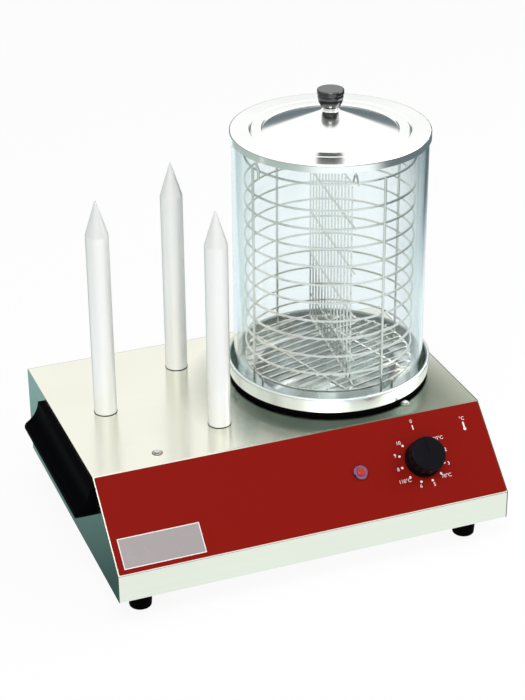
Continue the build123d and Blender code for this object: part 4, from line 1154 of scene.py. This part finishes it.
class HOTDOG_OT_blank_label(bpy.types.Operator):
    """A bare grey label with a white line round it, low on the left of the panel"""

    bl_idname = "hotdog.blank_label"
    bl_label = "Add Blank Label"

    def execute(self, context):
        sizes = context.scene.hot_dog_print
        colours = context.scene.hot_dog_finishes
        width, height = sizes.label_size
        border = sizes.label_border
        across = overlay_left + sizes.label_low[0] - knob_centre.x + width / 2
        up = overlay_foot + sizes.label_low[1] - knob_centre.dot(up_slope) + height / 2
        plate = bmesh.new()
        add_bar(plate, width - 2 * border, height - 2 * border, sizes.ink, on_panel(across, up))
        grey = moulded(
            "label_grey", colours.label_grey, roughness=(0.35, 0.5), pebbles=1500, depth=0.004 * MM
        )
        add_piece("label_field", plate, grey, "housing")
        rim = bmesh.new()
        for side in (-1, 1):
            beside = on_panel(across + side * (width - border) / 2, up)
            above = on_panel(across, up + side * (height - border) / 2)
            add_bar(rim, border, height, sizes.ink, beside)
            add_bar(rim, width - 2 * border, border, sizes.ink, above)
        add_piece("label_border", rim, print_ink(colours), "housing")
        return {"FINISHED"}


def add_floor(stage):
    """The square floor of the stage."""
    builder = bmesh.new()
    bmesh.ops.create_grid(builder, x_segments=1, y_segments=1, size=stage.floor_size / 2)
    mesh = bpy.data.meshes.new("floor")
    builder.to_mesh(mesh)
    builder.free()
    mesh.materials.append(floor_material(stage))
    floor = bpy.data.objects.new("floor", mesh)
    bpy.context.scene.collection.objects.link(floor)


def ray_shares(tree):
    """Two shares: 1 for rays from the camera or on through glass, and 1 for mirrored rays."""
    path = add_node(tree, "LightPath").outputs
    straight = larger_share(tree, path["Is Camera Ray"], path["Is Transmission Ray"])
    return straight, path["Is Glossy Ray"]


def set_world(stage):
    """A white surround: plain light on the object, a dark low band in what metal mirrors."""
    world = bpy.data.worlds.new("studio")
    bpy.context.scene.world = world
    world.use_nodes = True
    tree = world.node_tree
    tree.nodes.clear()
    straight, mirrored = ray_shares(tree)
    height = split_axes(tree, add_node(tree, "TexCoord").outputs["Generated"])[2]
    low = math.sin(stage.band_top - stage.band_fade)
    high = math.sin(stage.band_top + stage.band_fade)
    mirrored_sky = [stage.sky_mirror] * 3
    mirror_view = mix_colours(tree, ramp(tree, height, low, high), stage.dark_band, mirrored_sky)
    colour = mix_colours(tree, mirrored, [stage.sky_level] * 3, mirror_view)
    colour = mix_colours(tree, straight, colour, WHITE)
    light = add_node(tree, "Background", {"Color": colour, "Strength": 1.0})
    add_node(tree, "OutputWorld", {"Surface": light.outputs[0]})


def mirrored_floor(tree, stage):
    """The floor's colour in mirrors, painted apart from its own: a painted shadow beside the left panel, painted
    dark far right and painted grey behind.
    """
    across, back, _ = object_place(tree)
    fade, side_fade = stage.floor_fade, stage.side_fade
    (left, front), (right, rear) = stage.side_low, stage.side_high
    beside = multiply_shares(
        tree,
        ramp(tree, across, left - fade, left + fade),
        ramp(tree, across, right + side_fade, right),
        ramp(tree, back, front - side_fade, front + side_fade),
        ramp(tree, back, rear + fade, rear - fade),
    )
    side_colour = mix_colours(
        tree, ramp(tree, back, *stage.side_turn), stage.side_front, stage.side_back
    )
    far_across, far_back = stage.far_low
    behind = multiply_shares(
        tree,
        ramp(tree, across, far_across + fade, far_across - fade),
        ramp(tree, back, far_back - fade, far_back + fade),
    )
    behind = larger_share(tree, behind, ramp(tree, across, *stage.far_left))
    colour = mix_colours(tree, behind, stage.front_floor, stage.far_colour)
    colour = mix_colours(tree, beside, colour, side_colour)
    return mix_colours(tree, ramp(tree, across, *stage.right_dark), colour, stage.dark_band)


def floor_material(stage):
    """A pale floor that looks white and keeps the shadow, and shows painted shade and colours of its own in
    mirrors.
    """
    material, tree, shader = start_material(
        "pale_floor", stage.floor_colour, roughness=0.95, specular=0.0
    )
    straight, mirrored = ray_shares(tree)
    colour = mix_colours(tree, mirrored, WHITE, mirrored_floor(tree, stage))
    glow = add_node(tree, "Emission", {"Color": colour, "Strength": 1.0})
    share = larger_share(tree, multiply_shares(tree, straight, stage.floor_glow), mirrored)
    mix = add_node(tree, "MixShader", {0: share, 1: shader.outputs[0], 2: glow.outputs[0]})
    tree.links.new(mix.outputs[0], tree.nodes["Material Output"].inputs["Surface"])
    return material


def add_softbox(name, place, aim, size, watts):
    """A square area lamp that faces a point."""
    lamp = bpy.data.lights.new(name, "AREA")
    lamp.energy = watts
    lamp.size = size
    carrier = bpy.data.objects.new(name, lamp)
    carrier.location = place
    carrier.rotation_euler = (Vector(aim) - Vector(place)).to_track_quat("-Z", "Y").to_euler()
    bpy.context.scene.collection.objects.link(carrier)


def set_camera(stage):
    """The camera at the photograph's angle."""
    lens = bpy.data.cameras.new("camera")
    lens.lens = stage.camera_lens
    lens.sensor_width = 36
    lens.clip_start = 0.05
    carrier = bpy.data.objects.new("camera", lens)
    aim = (
        Matrix.Rotation(-stage.camera_turn, 4, "Z")
        @ Matrix.Rotation(math.pi / 2 - stage.camera_dip, 4, "X")
        @ Matrix.Rotation(stage.camera_roll, 4, "Z")
    )
    carrier.matrix_world = Matrix.Translation(stage.camera_place) @ aim
    bpy.context.scene.collection.objects.link(carrier)
    bpy.context.scene.camera = carrier


class HOTDOG_OT_stage(bpy.types.Operator):
    """Floor, surround, lamps and camera"""

    bl_idname = "hotdog.stage"
    bl_label = "Set Stage"

    def execute(self, context):
        stage = context.scene.hot_dog_stage
        context.scene.view_settings.view_transform = "Standard"
        add_floor(stage)
        set_world(stage)
        add_softbox("key_lamp", stage.key_place, stage.lamp_aim, stage.key_size, stage.key_power)
        add_softbox("fill_lamp", stage.fill_place, stage.lamp_aim, stage.fill_size, stage.fill_power)
        set_camera(stage)
        return {"FINISHED"}


class HOTDOG_PT_machine(bpy.types.Panel):
    """Lists the steps that dress the machine"""

    bl_idname = "HOTDOG_PT_machine"
    bl_label = "Hot Dog Machine"
    bl_space_type = "VIEW_3D"
    bl_region_type = "UI"
    bl_category = "Hot Dog Machine"

    def draw(self, context):
        column = self.layout.column(align=True)
        for step in STEPS:
            column.operator(step.bl_idname)


SETTINGS = {
    "hot_dog_finishes": HotDogFinishes,
    "hot_dog_print": HotDogPrint,
    "hot_dog_stage": HotDogStage,
}
STEPS = (
    HOTDOG_OT_housing_finish,
    HOTDOG_OT_bowl_finish,
    HOTDOG_OT_lid_finish,
    HOTDOG_OT_glass_finish,
    HOTDOG_OT_basket_finish,
    HOTDOG_OT_spike_finish,
    HOTDOG_OT_deck_washers,
    HOTDOG_OT_moulding_finish,
    HOTDOG_OT_lamp_finish,
    HOTDOG_OT_inner_finish,
    HOTDOG_OT_dial_print,
    HOTDOG_OT_thermometer_sign,
    HOTDOG_OT_blank_label,
    HOTDOG_OT_stage,
)


def register():
    for group in SETTINGS.values():
        bpy.utils.register_class(group)
    for name, group in SETTINGS.items():
        setattr(bpy.types.Scene, name, PointerProperty(type=group))
    for step in (*STEPS, HOTDOG_PT_machine):
        bpy.utils.register_class(step)


def unregister():
    for step in reversed((*STEPS, HOTDOG_PT_machine)):
        bpy.utils.unregister_class(step)
    for name in SETTINGS:
        delattr(bpy.types.Scene, name)
    for group in SETTINGS.values():
        bpy.utils.unregister_class(group)


def main():
    register()
    for step in STEPS:
        family, action = step.bl_idname.split(".")
        getattr(getattr(bpy.ops, family), action)()


if __name__ == "__main__":
    main()
